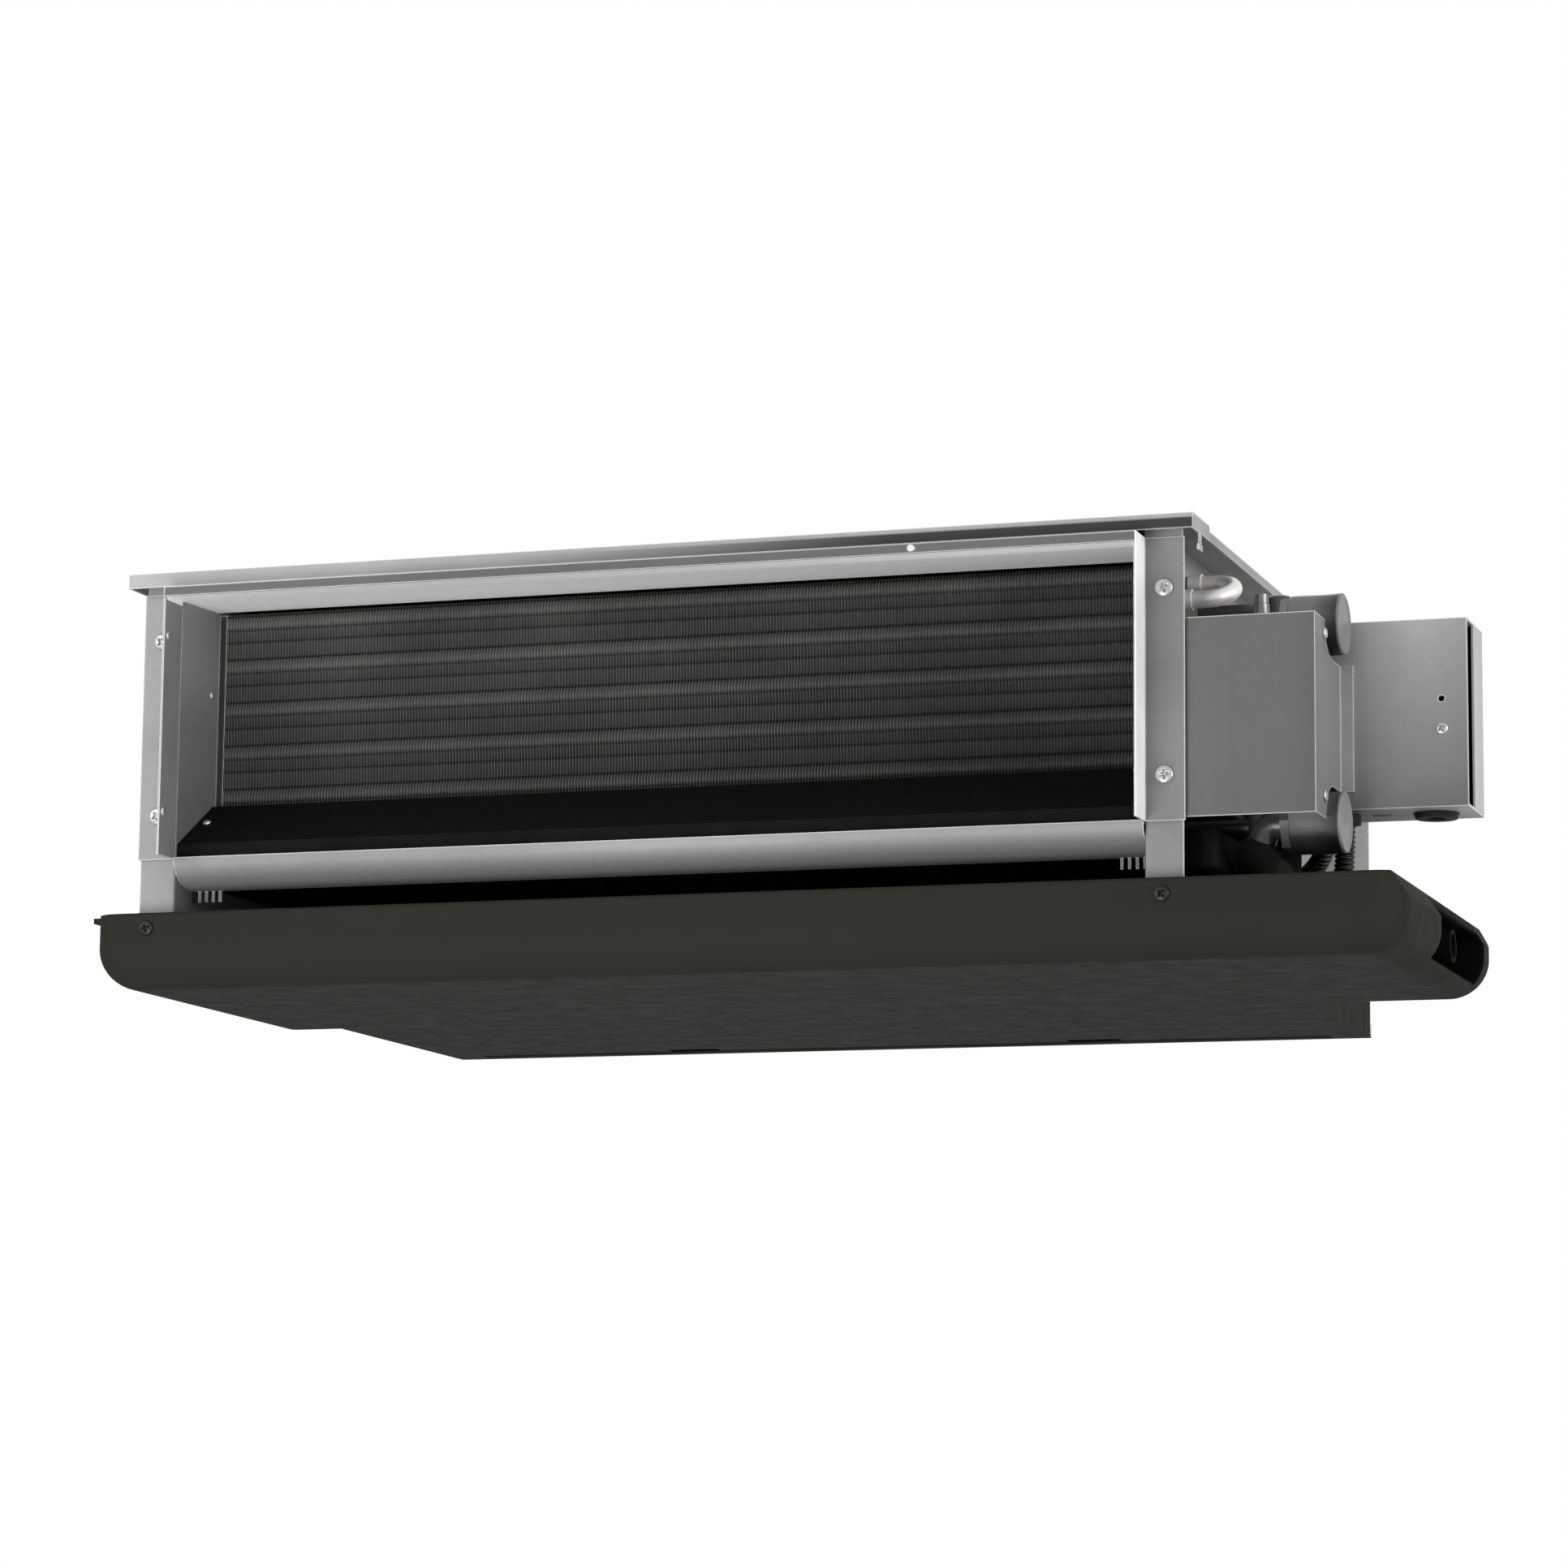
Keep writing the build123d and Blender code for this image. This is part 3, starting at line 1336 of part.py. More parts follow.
for side, name in ((-1, "scroll_left"), (1, "scroll_right")):
    near = side * scroll_centre - scroll_width / 2
    with BuildPart() as scroll:
        for inset, start, length, mode in (
            (0, near, scroll_width, Mode.ADD),
            (sheet, near + sheet, scroll_width - 2 * sheet, Mode.SUBTRACT),
        ):
            points = [scroll_point(step / scroll_steps, inset) for step in range(scroll_steps + 1)]
            mouth = deck_y + sheet if inset == 0 else deck_y
            with BuildSketch(Plane.YZ.offset(start)):
                with BuildLine():
                    Spline(*points, tangents=(scroll_entry, scroll_exit), tangent_scalars=(0.5, 1))
                    Polyline(
                        points[-1],
                        (mouth, points[-1][1]),
                        (mouth, tongue_z + inset),
                        (fan_y - scroll_start_r + tongue_drop, tongue_z + inset),
                        points[0],
                    )
                make_face()
            extrude(amount=length, mode=mode)
        with BuildSketch(Plane.YZ.offset(near - inlet_lip)):
            with Locations((fan_y, fan_z)):
                Circle(inlet_r + inlet_roll)
        extrude(amount=scroll_width + 2 * inlet_lip)
        with BuildSketch(Plane.YZ.offset(near + sheet)):
            with Locations((fan_y, fan_z)):
                Circle(inlet_r + 2 * inlet_roll)
        extrude(amount=scroll_width - 2 * sheet, mode=Mode.SUBTRACT)
        with BuildSketch(Plane.YZ.offset(near - inlet_lip)):
            with Locations((fan_y, fan_z)):
                Circle(inlet_r)
        extrude(amount=scroll_width + 2 * inlet_lip, mode=Mode.SUBTRACT)
    scroll.part.label = name
    export_step(scroll.part, f"parts/{name}.step")

# Blower wheels: forward-curved blades on a centre disc, tied by a ring at each end.
blade_tip = wheel_r - blade_inset
blade_root = wheel_bore_r + blade_inset
for side, name in ((-1, "wheel_left"), (1, "wheel_right")):
    middle = side * scroll_centre
    near = middle - wheel_width / 2
    wheel_plane = Plane(origin=(near, fan_y, fan_z), x_dir=(0, 1, 0), z_dir=(1, 0, 0))
    with BuildPart() as wheel:
        with BuildSketch(wheel_plane):
            with PolarLocations(0, wheel_blades):
                with BuildLine():
                    inner_arc = ThreePointArc(
                        (blade_root, -blade / 2),
                        ((blade_root + blade_tip) / 2 + blade_bulge / 2, blade_lead / 2 - blade_bulge / 2),
                        (blade_tip, blade_lead),
                    )
                    tip_line = Line(inner_arc @ 1, (blade_tip - blade, blade_lead + blade / 2))
                    outer_arc = ThreePointArc(
                        tip_line @ 1,
                        (
                            (blade_root + blade_tip) / 2 + blade_bulge / 2 - blade,
                            blade_lead / 2 - blade_bulge / 2 + blade,
                        ),
                        (blade_root, blade / 2),
                    )
                    Line(outer_arc @ 1, inner_arc @ 0)
                make_face()
        extrude(amount=wheel_width)
        for start, outer_r, hole_r, length in (
            (0, wheel_r, wheel_bore_r + ring_overlap, wheel_ring),
            (wheel_width - wheel_ring, wheel_r, wheel_bore_r + ring_overlap, wheel_ring),
            ((wheel_width - wheel_disc) / 2, wheel_r, shaft_r, wheel_disc),
            ((wheel_width - hub_length) / 2, hub_r, shaft_r, hub_length),
        ):
            with BuildSketch(wheel_plane.offset(start)):
                Circle(outer_r)
                Circle(hole_r, mode=Mode.SUBTRACT)
            extrude(amount=length)
    wheel.part.label = name
    export_step(wheel.part, f"parts/{name}.step")

# Fan shaft through the motor and both wheels.
shaft_half = scroll_centre + hub_length / 2 + shaft_overhang
with BuildPart() as fan_shaft:
    with BuildSketch(Plane.YZ.offset(-shaft_half)):
        with Locations((fan_y, fan_z)):
            Circle(shaft_r)
    extrude(amount=2 * shaft_half)
    chamfer(edges().filter_by(GeomType.CIRCLE), shaft_chamfer)
fan_shaft.part.label = "fan_shaft"
export_step(fan_shaft.part, "parts/fan_shaft.step")

# Motor: drum with stepped end bells and bearing hubs, bored for the shaft.
hub_face = motor_length / 2 + motor_bell + motor_hub
with BuildPart() as motor:
    with BuildSketch(Plane.YZ.offset(-hub_face)):
        with Locations((fan_y, fan_z)):
            Circle(motor_hub_r)
    extrude(amount=2 * hub_face)
    with BuildSketch(Plane.YZ.offset(-(motor_length / 2 + motor_bell))):
        with Locations((fan_y, fan_z)):
            Circle(motor_bell_r)
    extrude(amount=motor_length + 2 * motor_bell)
    with BuildSketch(Plane.YZ.offset(-motor_length / 2)):
        with Locations((fan_y, fan_z)):
            Circle(motor_r)
    extrude(amount=motor_length)
    with BuildSketch(Plane.YZ.offset(-hub_face)):
        with Locations((fan_y, fan_z)):
            Circle(shaft_r + shaft_fit)
    extrude(amount=2 * hub_face, mode=Mode.SUBTRACT)
motor.part.label = "motor"
export_step(motor.part, "parts/motor.step")

# Rubber rings on the motor hubs.
ring_x = hub_face - ring_width
with BuildPart() as motor_rings:
    for start in (-ring_x - ring_width, ring_x):
        with BuildSketch(Plane.YZ.offset(start)):
            with Locations((fan_y, fan_z)):
                Circle(ring_r)
                Circle(motor_hub_r + foam_fit, mode=Mode.SUBTRACT)
        extrude(amount=ring_width)
motor_rings.part.label = "motor_rings"
export_step(motor_rings.part, "parts/motor_rings.step")

# Motor cradle: two eyed arms on a base plate fixed to the fan deck.
arm_x = ring_x + ring_width / 2 - cradle_sheet / 2
eye_r = ring_r + cradle_eye
cradle_y = deck_y + sheet
with BuildPart() as motor_cradle:
    with BuildSketch(Plane.XZ.offset(-cradle_y)):
        with Locations((0, fan_z)):
            Rectangle(2 * (arm_x + cradle_sheet), cradle_base_height)
    extrude(amount=-cradle_sheet)
    for start in (-arm_x - cradle_sheet, arm_x):
        with BuildSketch(Plane.YZ.offset(start)):
            with BuildLine():
                Polyline(
                    (cradle_y, fan_z - cradle_base_height / 2),
                    (cradle_y + cradle_width, fan_z - cradle_base_height / 2),
                    (fan_y, fan_z - eye_r),
                    (fan_y, fan_z + eye_r),
                    (cradle_y + cradle_width, fan_z + cradle_base_height / 2),
                    (cradle_y, fan_z + cradle_base_height / 2),
                    close=True,
                )
            make_face()
            with Locations((fan_y, fan_z)):
                Circle(eye_r)
                Circle(ring_r + foam_fit, mode=Mode.SUBTRACT)
        extrude(amount=cradle_sheet)
motor_cradle.part.label = "motor_cradle"
export_step(motor_cradle.part, "parts/motor_cradle.step")

# Air filter frame: bordered panel with ribs and two finger pulls on its lower edge.
filter_y = front + filter_setback
filter_half = web_inner - sheet - filter_fit
filter_z0 = bottom + filter_base
filter_z1 = -filter_head_gap
filter_mid = (filter_z0 + filter_z1) / 2
filter_height = filter_z1 - filter_z0
opening_width = 2 * (filter_half - filter_border)
opening_height = filter_height - 2 * filter_border
with BuildPart() as filter_frame:
    with BuildSketch(Plane.XZ.offset(-filter_y)):
        with Locations((0, filter_mid)):
            Rectangle(2 * filter_half, filter_height)
            Rectangle(opening_width, opening_height, mode=Mode.SUBTRACT)
    extrude(amount=-filter_thickness)
    with BuildSketch(Plane.XZ.offset(-(filter_y + filter_thickness / 2))):
        with Locations((0, filter_mid)):
            with GridLocations(opening_width / (filter_ribs + 1), 0, filter_ribs, 1):
                Rectangle(filter_rib, opening_height)
            Rectangle(opening_width, filter_rib)
    extrude(amount=-filter_thickness / 2)
    with BuildSketch(Plane.XY.offset(filter_z0)):
        with Locations((0, filter_y - pull_reach / 2)):
            with GridLocations(opening_width / 2, 0, 2, 1):
                Rectangle(pull_width, pull_reach)
    extrude(amount=pull_thickness)
filter_frame.part.label = "filter_frame"
export_step(filter_frame.part, "parts/filter_frame.step")

# Filter media: thin sheet held in the frame against the ribs.
with BuildPart() as filter_media:
    with BuildSketch(Plane.XZ.offset(-(filter_y + filter_thickness / 2))):
        with Locations((0, filter_mid)):
            Rectangle(opening_width - 2 * media_fit, opening_height - 2 * media_fit)
    extrude(amount=media_thickness)
filter_media.part.label = "filter_media"
export_step(filter_media.part, "parts/filter_media.step")

# Filter rails: channels on the webs, open inwards and below.
rail_front = filter_y - filter_fit - sheet
rail_rear = filter_y + filter_thickness + filter_fit + sheet
for side, name in ((-1, "filter_rail_left"), (1, "filter_rail_right")):
    with BuildPart() as rail:
        with BuildSketch(Plane.XY.offset(filter_z0)):
            with BuildLine():
                Polyline(
                    (side * web_inner, rail_front),
                    (side * (web_inner - rail_reach), rail_front),
                    (side * (web_inner - rail_reach), rail_front + sheet),
                    (side * (web_inner - sheet), rail_front + sheet),
                    (side * (web_inner - sheet), rail_rear - sheet),
                    (side * (web_inner - rail_reach), rail_rear - sheet),
                    (side * (web_inner - rail_reach), rail_rear),
                    (side * web_inner, rail_rear),
                    close=True,
                )
            make_face()
        extrude(amount=filter_z1 - filter_z0)
    rail.part.label = name
    export_step(rail.part, f"parts/{name}.step")

# Bottom panel: dark sheet between the webs, from behind the crossbar to the tray's rear wall.
panel_y0 = front + bottom_front_gap
panel_y1 = tray_y1
with BuildPart() as bottom_panel:
    with BuildSketch(Plane.XZ.offset(-panel_y0)):
        with BuildLine():
            Polyline(
                (-web_inner, bottom + bottom_lip),
                (-web_inner, bottom),
                (web_inner, bottom),
                (web_inner, bottom + bottom_lip),
                (web_inner - sheet, bottom + bottom_lip),
                (web_inner - sheet, bottom + sheet),
                (-web_inner + sheet, bottom + sheet),
                (-web_inner + sheet, bottom + bottom_lip),
                close=True,
            )
        make_face()
    extrude(amount=-(panel_y1 - panel_y0))
bottom_panel.part.label = "bottom_panel"
export_step(bottom_panel.part, "parts/bottom_panel.step")

# Fan cover: dark sheet under the fan section, folded up at its sides and rear, with a slot
# for the filter and two finger notches in front of the filter's pulls.
cover_y0 = panel_y1 + cover_seam
slot_y0 = filter_y - slot_margin
slot_y1 = filter_y + filter_thickness + slot_margin
notch_front = filter_y - pull_reach - pull_margin
with BuildPart() as fan_cover:
    with BuildSketch(Plane.XY.offset(bottom - sheet)):
        with Locations((0, (cover_y0 + rear + sheet) / 2)):
            Rectangle(2 * right, rear + sheet - cover_y0)
        with Locations((0, (slot_y0 + slot_y1) / 2)):
            Rectangle(2 * (filter_half + slot_margin), slot_y1 - slot_y0, mode=Mode.SUBTRACT)
        with Locations((0, (notch_front + slot_y1) / 2)):
            with GridLocations(opening_width / 2, 0, 2, 1):
                Rectangle(pull_width + 2 * pull_margin, slot_y1 - notch_front, mode=Mode.SUBTRACT)
    extrude(amount=sheet)
    lip_rear = rear - sheet - casing_gap
    with BuildSketch(Plane.XY.offset(bottom)):
        with Locations((0, (cover_y0 + lip_rear) / 2)):
            with GridLocations(2 * right - sheet, 0, 2, 1):
                Rectangle(sheet, lip_rear - cover_y0)
    extrude(amount=cover_side_lip)
    with BuildSketch(Plane.XY.offset(bottom)):
        with Locations((0, rear + sheet / 2)):
            Rectangle(2 * right, sheet)
    extrude(amount=cover_rear_lip)
fan_cover.part.label = "fan_cover"
export_step(fan_cover.part, "parts/fan_cover.step")

# Foam sheet glued under the top panel.
foam_y0 = front + foam_setback
foam_y1 = rail_front - foam_end_gap
with BuildPart() as top_foam:
    with BuildSketch(Plane.XY.offset(-sheet)):
        with Locations((0, (foam_y0 + foam_y1) / 2)):
            Rectangle(2 * (web_inner - foam_inset), foam_y1 - foam_y0)
    extrude(amount=-foam_sheet)
top_foam.part.label = "top_foam"
export_step(top_foam.part, "parts/top_foam.step")
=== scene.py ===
"""Looks of a ceiling-hung concealed fan coil unit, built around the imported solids."""

import math

import bpy
import numpy as np
from mathutils import Matrix, Vector


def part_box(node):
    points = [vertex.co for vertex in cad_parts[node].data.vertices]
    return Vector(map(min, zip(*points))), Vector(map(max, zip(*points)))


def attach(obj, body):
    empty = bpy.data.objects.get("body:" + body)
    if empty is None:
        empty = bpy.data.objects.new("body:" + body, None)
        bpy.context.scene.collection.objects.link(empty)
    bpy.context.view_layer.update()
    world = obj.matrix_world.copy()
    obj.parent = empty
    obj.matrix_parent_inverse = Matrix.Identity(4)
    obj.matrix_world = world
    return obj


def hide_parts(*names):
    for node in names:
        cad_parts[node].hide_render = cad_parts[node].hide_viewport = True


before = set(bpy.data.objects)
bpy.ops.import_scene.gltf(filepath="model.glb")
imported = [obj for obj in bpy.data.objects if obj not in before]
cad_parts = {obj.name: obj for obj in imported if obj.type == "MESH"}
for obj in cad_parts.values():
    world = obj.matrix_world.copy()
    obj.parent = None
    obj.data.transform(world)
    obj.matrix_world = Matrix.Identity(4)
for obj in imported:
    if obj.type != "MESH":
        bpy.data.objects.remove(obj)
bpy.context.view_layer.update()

# View: the unit is seen from the front right and a little from below, with a long lens.
# The camera stands 2.8 m off; its three directions are unit vectors in the unit's frame.
view_place = Vector((0.8928, -2.6710, -0.5371))
view_right = Vector((0.9488, 0.3158, 0.0094))
view_up = Vector((0.0402, -0.1504, 0.9878))
view_back = Vector((0.3133, -0.9368, -0.1554))
camera_data = bpy.data.cameras.new("front_right_view")
camera_data.lens = 110.94
camera_data.sensor_width = 36.0
camera = bpy.data.objects.new("front_right_view", camera_data)
turn = Matrix((view_right, view_up, view_back)).transposed().to_4x4()
camera.matrix_world = Matrix.Translation(view_place) @ turn
bpy.context.scene.collection.objects.link(camera)
bpy.context.scene.camera = camera
bpy.context.scene.view_settings.view_transform = "Standard"

# Cable conduits: black nylon tubes, ribbed all along so that they bend without kinking.
# Each is clipped into a gland under the electrical box and into a bushing in the side web.
conduit_radius = 0.0055
conduit_sides = 20
rib_depth = 0.0011
rib_pitch = 0.0026
conduit_routes = {
    "conduit_motor": (
        (0.3545, -0.139, -0.155),
        (0.3545, -0.139, -0.170),
        (0.326, -0.100, -0.181),
        (0.302, -0.090, -0.192),
        (0.2825, -0.090, -0.192),
    ),
    "conduit_sensor": (
        (0.368, -0.156, -0.155),
        (0.368, -0.156, -0.186),
        (0.350, -0.110, -0.210),
        (0.316, -0.052, -0.208),
        (0.2825, -0.052, -0.208),
    ),
}


def wire(tree, kind, inputs=None, **settings):
    """A new node with its settings, its inputs set to values or linked to sockets."""
    node = tree.nodes.new(kind)
    for setting, value in settings.items():
        setattr(node, setting, value)
    for socket, value in (inputs or {}).items():
        if isinstance(value, bpy.types.NodeSocket):
            tree.links.new(value, node.inputs[socket])
        else:
            node.inputs[socket].default_value = value
    return node


def figure(tree, operation, *values):
    """The outcome of one sum on numbers or sockets."""
    return wire(tree, "ShaderNodeMath", dict(enumerate(values)), operation=operation).outputs[0]


def scaled(tree, color, factor):
    """A colour multiplied by one factor."""
    node = wire(tree, "ShaderNodeVectorMath", {0: color, "Scale": factor}, operation="SCALE")
    return node.outputs["Vector"]


def between(tree, share, low, high):
    """The colour that lies a share of the way from low to high."""
    mix = wire(tree, "ShaderNodeMix", {0: share, 6: low, 7: high}, data_type="RGBA")
    return mix.outputs[2]


def remap(tree, value, low, high, new_low, new_high):
    """The value moved from one range to another and held inside it."""
    ranges = {"From Min": low, "From Max": high, "To Min": new_low, "To Max": new_high}
    return wire(tree, "ShaderNodeMapRange", {"Value": value, **ranges}).outputs["Result"]


def noise(tree, place, scale, detail, **more):
    """A cloudy tone over the surface, most of it between 0.3 and 0.7."""
    inputs = {"Vector": place, "Scale": scale, "Detail": detail, **more}
    return wire(tree, "ShaderNodeTexNoise", inputs).outputs["Fac"]


def swing(tree, tone, low, high):
    """A cloudy tone spread between two values."""
    return remap(tree, tone, 0.3, 0.7, low, high)


def new_group(name, inputs):
    """An empty shader group that gives a colour, a roughness and a relief.

    Its inputs are floats, vectors and colours, marked f, v and c. With the group come the
    sockets that its nodes read and those that they fill.
    """
    kinds = {"f": "NodeSocketFloat", "v": "NodeSocketVector", "c": "NodeSocketColor"}
    results = {"Color": "c", "Roughness": "f", "Height": "f"}
    tree = bpy.data.node_groups.new(name, "ShaderNodeTree")
    for side, sockets in (("INPUT", inputs), ("OUTPUT", results)):
        for socket, kind in sockets.items():
            tree.interface.new_socket(socket, in_out=side, socket_type=kinds[kind])
    given = tree.nodes.new("NodeGroupInput")
    wanted = tree.nodes.new("NodeGroupOutput")
    return tree, given.outputs, wanted.inputs


# Moulded surface: cloudy tone, fine spark-erosion grain and slightly polished high spots.
moulded_skin, given, wanted = new_group(
    "moulded_skin", {"Vector": "v", "Tone": "c", "Cloud": "f", "Grain Scale": "f", "Rough": "f"}
)
clouds = noise(moulded_skin, given["Vector"], 9.0, 4.0)
grain = noise(moulded_skin, given["Vector"], given["Grain Scale"], 3.0)
scuffs = noise(moulded_skin, given["Vector"], 70.0, 6.0)
cloudy = swing(moulded_skin, clouds, -1.0, 1.0)
cloud_swing = figure(moulded_skin, "MULTIPLY", cloudy, given["Cloud"])
toned = scaled(moulded_skin, given["Tone"], figure(moulded_skin, "ADD", cloud_swing, 1.0))
scuffed = remap(moulded_skin, scuffs, 0.35, 0.7, -0.06, 0.08)
moulded_skin.links.new(toned, wanted["Color"])
moulded_skin.links.new(figure(moulded_skin, "ADD", given["Rough"], scuffed), wanted["Roughness"])
moulded_skin.links.new(grain, wanted["Height"])

# Edges go towards bright metal: rubbed wear, and a painted highlight.
edge_width = 0.0012
rubbed_and_lit_edge = (0.88, 0.89, 0.88, 1.0)


def blank_material(name):
    """A material without nodes, its tree, and the place on the piece that patterns read."""
    material = bpy.data.materials.new(name)
    material.use_nodes = True
    tree = material.node_tree
    tree.nodes.clear()
    return material, tree, wire(tree, "ShaderNodeTexCoord").outputs["Object"]


def end_in_shader(tree, inputs):
    """Ends a material in a Principled shader with these inputs."""
    principled = wire(tree, "ShaderNodeBsdfPrincipled", inputs)
    wire(tree, "ShaderNodeOutputMaterial", {"Surface": principled.outputs["BSDF"]})


def surfaced(
    name,
    group,
    values,
    metallic=0.0,
    bump=0.1,
    bump_distance=0.0004,
    shade=None,
    edge=0.0,
    soften=0.0,
    **shader,
):
    """A material whose colour, roughness and relief come from one shader group.

    shade is a function of (tree, place) that gives a factor for the colour, which paints light
    and shade on it. edge is how far the colour goes towards bright metal where the surface turns
    within a millimetre: rubbed wear, and a painted highlight along the edges.
    soften is the radius over which the shading of neighbouring facets is evened out.
    """
    material, tree, place = blank_material(name)
    skin = wire(tree, "ShaderNodeGroup", {"Vector": place, **values}, node_tree=group)
    color = skin.outputs["Color"]
    if shade:
        color = scaled(tree, color, shade(tree, place))
    if edge:
        soft = wire(tree, "ShaderNodeBevel", {"Radius": edge_width}, samples=4).outputs["Normal"]
        flat = wire(tree, "ShaderNodeNewGeometry").outputs["Normal"]
        match = wire(tree, "ShaderNodeVectorMath", {0: soft, 1: flat}, operation="DOT_PRODUCT")
        edge_wear_and_highlight = remap(tree, match.outputs["Value"], 0.75, 0.98, edge, 0.0)
        color = between(tree, edge_wear_and_highlight, color, rubbed_and_lit_edge)
    relief = {"Strength": bump, "Distance": bump_distance, "Height": skin.outputs["Height"]}
    if soften:
        rounded = wire(tree, "ShaderNodeBevel", {"Radius": soften}, samples=6)
        relief["Normal"] = rounded.outputs["Normal"]
    look = {
        "Base Color": color,
        "Roughness": skin.outputs["Roughness"],
        "Metallic": metallic,
        "Normal": wire(tree, "ShaderNodeBump", relief).outputs["Normal"],
    }
    end_in_shader(tree, {**look, **shader})
    return material


def moulded(name, tone, rough, grain_scale=900.0, cloud=0.08, bump=0.12, gloss=0.3, **shader):
    """Moulded plastic or rubber of one tone; gloss is the share of mirror reflection."""
    values = {"Tone": (*tone, 1.0), "Rough": rough, "Grain Scale": grain_scale, "Cloud": cloud}
    shader = {"Specular IOR Level": gloss, **shader}
    return surfaced(name, moulded_skin, values, bump=bump, **shader)


def mesh_piece(name, verts, faces, material, body, smooth=True):
    """A mesh object in the unit's frame that rides on a body and takes a finish."""
    mesh = bpy.data.meshes.new(name)
    points = np.asarray(verts).reshape(-1, 3).tolist()
    mesh.from_pydata(points, [], [list(map(int, face)) for face in faces])
    mesh.polygons.foreach_set("use_smooth", [smooth] * len(mesh.polygons))
    mesh.materials.append(material)
    mesh.update()
    piece = bpy.data.objects.new(name, mesh)
    bpy.context.scene.collection.objects.link(piece)
    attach(piece, body)
    return piece


def ring_faces(rows, around, loop=False):
    """Quads between rows of points that close round themselves.

    The first and last row get a cap, or with loop they are joined to each other.
    """
    bands = rows if loop else rows - 1
    row, step = np.meshgrid(np.arange(bands), np.arange(around), indexing="ij")
    here = row * around + step
    beside = row * around + (step + 1) % around
    quads = np.stack([here, beside, beside + around, here + around], axis=-1)
    faces = [tuple(quad) for quad in quads.reshape(-1, 4) % (rows * around)]
    if not loop:
        faces.append(tuple(range(around - 1, -1, -1)))
        faces.append(tuple(range((rows - 1) * around, rows * around)))
    return faces


def smooth_line(name, route, steps=32):
    """Points along the smooth spline that a conduit's route steers, from end to end."""
    curve = bpy.data.curves.new(name + "_line", "CURVE")
    curve.dimensions = "3D"
    curve.resolution_u = steps
    spline = curve.splines.new("NURBS")
    spline.points.add(len(route) - 1)
    spline.points.foreach_set("co", [value for point in route for value in (*point, 1.0)])
    spline.order_u = 3
    spline.use_endpoint_u = True
    holder = bpy.data.objects.new(name + "_line", curve)
    line = bpy.data.meshes.new_from_object(holder)
    points = np.array([vertex.co for vertex in line.vertices])
    bpy.data.objects.remove(holder)
    return points


def length_run(points):
    """How far each point of a line lies from its start, along the line."""
    steps = np.linalg.norm(np.diff(points, axis=0), axis=1)
    return np.concatenate([[0.0], np.cumsum(steps)])


def rings_along(points, s, aside, around):
    """Points of a line at the runs s, and a ring of directions square to it at each.

    A direction is cos v * side + sin v * top, where side is square to the line and to
    aside, and top is square to the line and to side.
    """
    run = length_run(points)
    centre = np.stack([np.interp(s, run, points[:, axis]) for axis in range(3)], axis=1)
    along = np.gradient(centre, axis=0)
    along /= np.linalg.norm(along, axis=1)[:, None]
    side = np.cross(along, aside)
    side /= np.linalg.norm(side, axis=1)[:, None]
    top = np.cross(along, side)
    v = np.linspace(0.0, 2 * np.pi, around, endpoint=False)
    ring = np.cos(v)[None, :, None] * side[:, None] + np.sin(v)[None, :, None] * top[:, None]
    return centre[:, None], ring


def ribbed_tube(points, radius, depth, pitch, around, rings=8):
    """The points of a ribbed tube round a line, how many rings they make, and its length.

    A point is the line's point plus the radius times the ring's direction. The radius is
    the full one less depth times the square of (1 + cos(2 pi run / pitch)) / 2.
    """
    length = length_run(points)[-1]
    count = int(length / pitch) * rings
    s = np.linspace(0.0, length, count + 1)
    centre, ring = rings_along(points, s, (0.7, 0.7, 0.1), around)
    swell = 0.5 + 0.5 * np.cos(2 * np.pi * s / pitch)
    reach = radius - depth * swell**2
    return centre + reach[:, None, None] * ring, count + 1, length


black_nylon = moulded("black_nylon", (0.012, 0.013, 0.011), 0.42, bump=0.05)
for conduit, route in conduit_routes.items():
    line = smooth_line(conduit, route)
    verts, rows, length = ribbed_tube(line, conduit_radius, rib_depth, rib_pitch, conduit_sides)
    faces = ring_faces(rows, conduit_sides)
    tube = mesh_piece(conduit + "_ribbed", verts, faces, black_nylon, "casing")
    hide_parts(conduit)

# Casing: hot-dip galvanised steel 1.2 mm thick, sheared, punched and folded on a brake.
# The zinc shows faint spangle, long rolling marks and a few rubbed places. Below are the
# boundaries of the light and shade painted on it, each from where the one ends to where
# the other begins.
wall_left = (-0.2797, -0.2790)
wall_right = (0.2797, 0.2790)
roof_underside = (-0.0179, -0.0175)
strip_back = (-0.2606, -0.2602)
strip_front = (-0.2604, -0.2608)
flange_face = (-0.2420, -0.2430)
collar_right = (0.2793, 0.2797)
lip_face = (-0.2488, -0.2496)
# The painted shade band on the lid's lip: below its top, and from near the middle rightwards.
lip_shade_top = (-0.0020, -0.0030)
lip_shade_start = (-0.08, 0.14)
front_folds = (-0.2385, -0.2375)
rear_folds = (0.236, 0.239)
frame_right_part = (-0.10, 0.24)
wall_heights = (-0.150, -0.040)
wall_top_band = (-0.075, -0.050)
bar_heights = (-0.1770, -0.1650)


def stretched(tree, place, factors):
    """The place multiplied axis by axis, which draws a pattern out along the low ones."""
    node = wire(tree, "ShaderNodeVectorMath", {0: place, 1: factors}, operation="MULTIPLY")
    return node.outputs["Vector"]


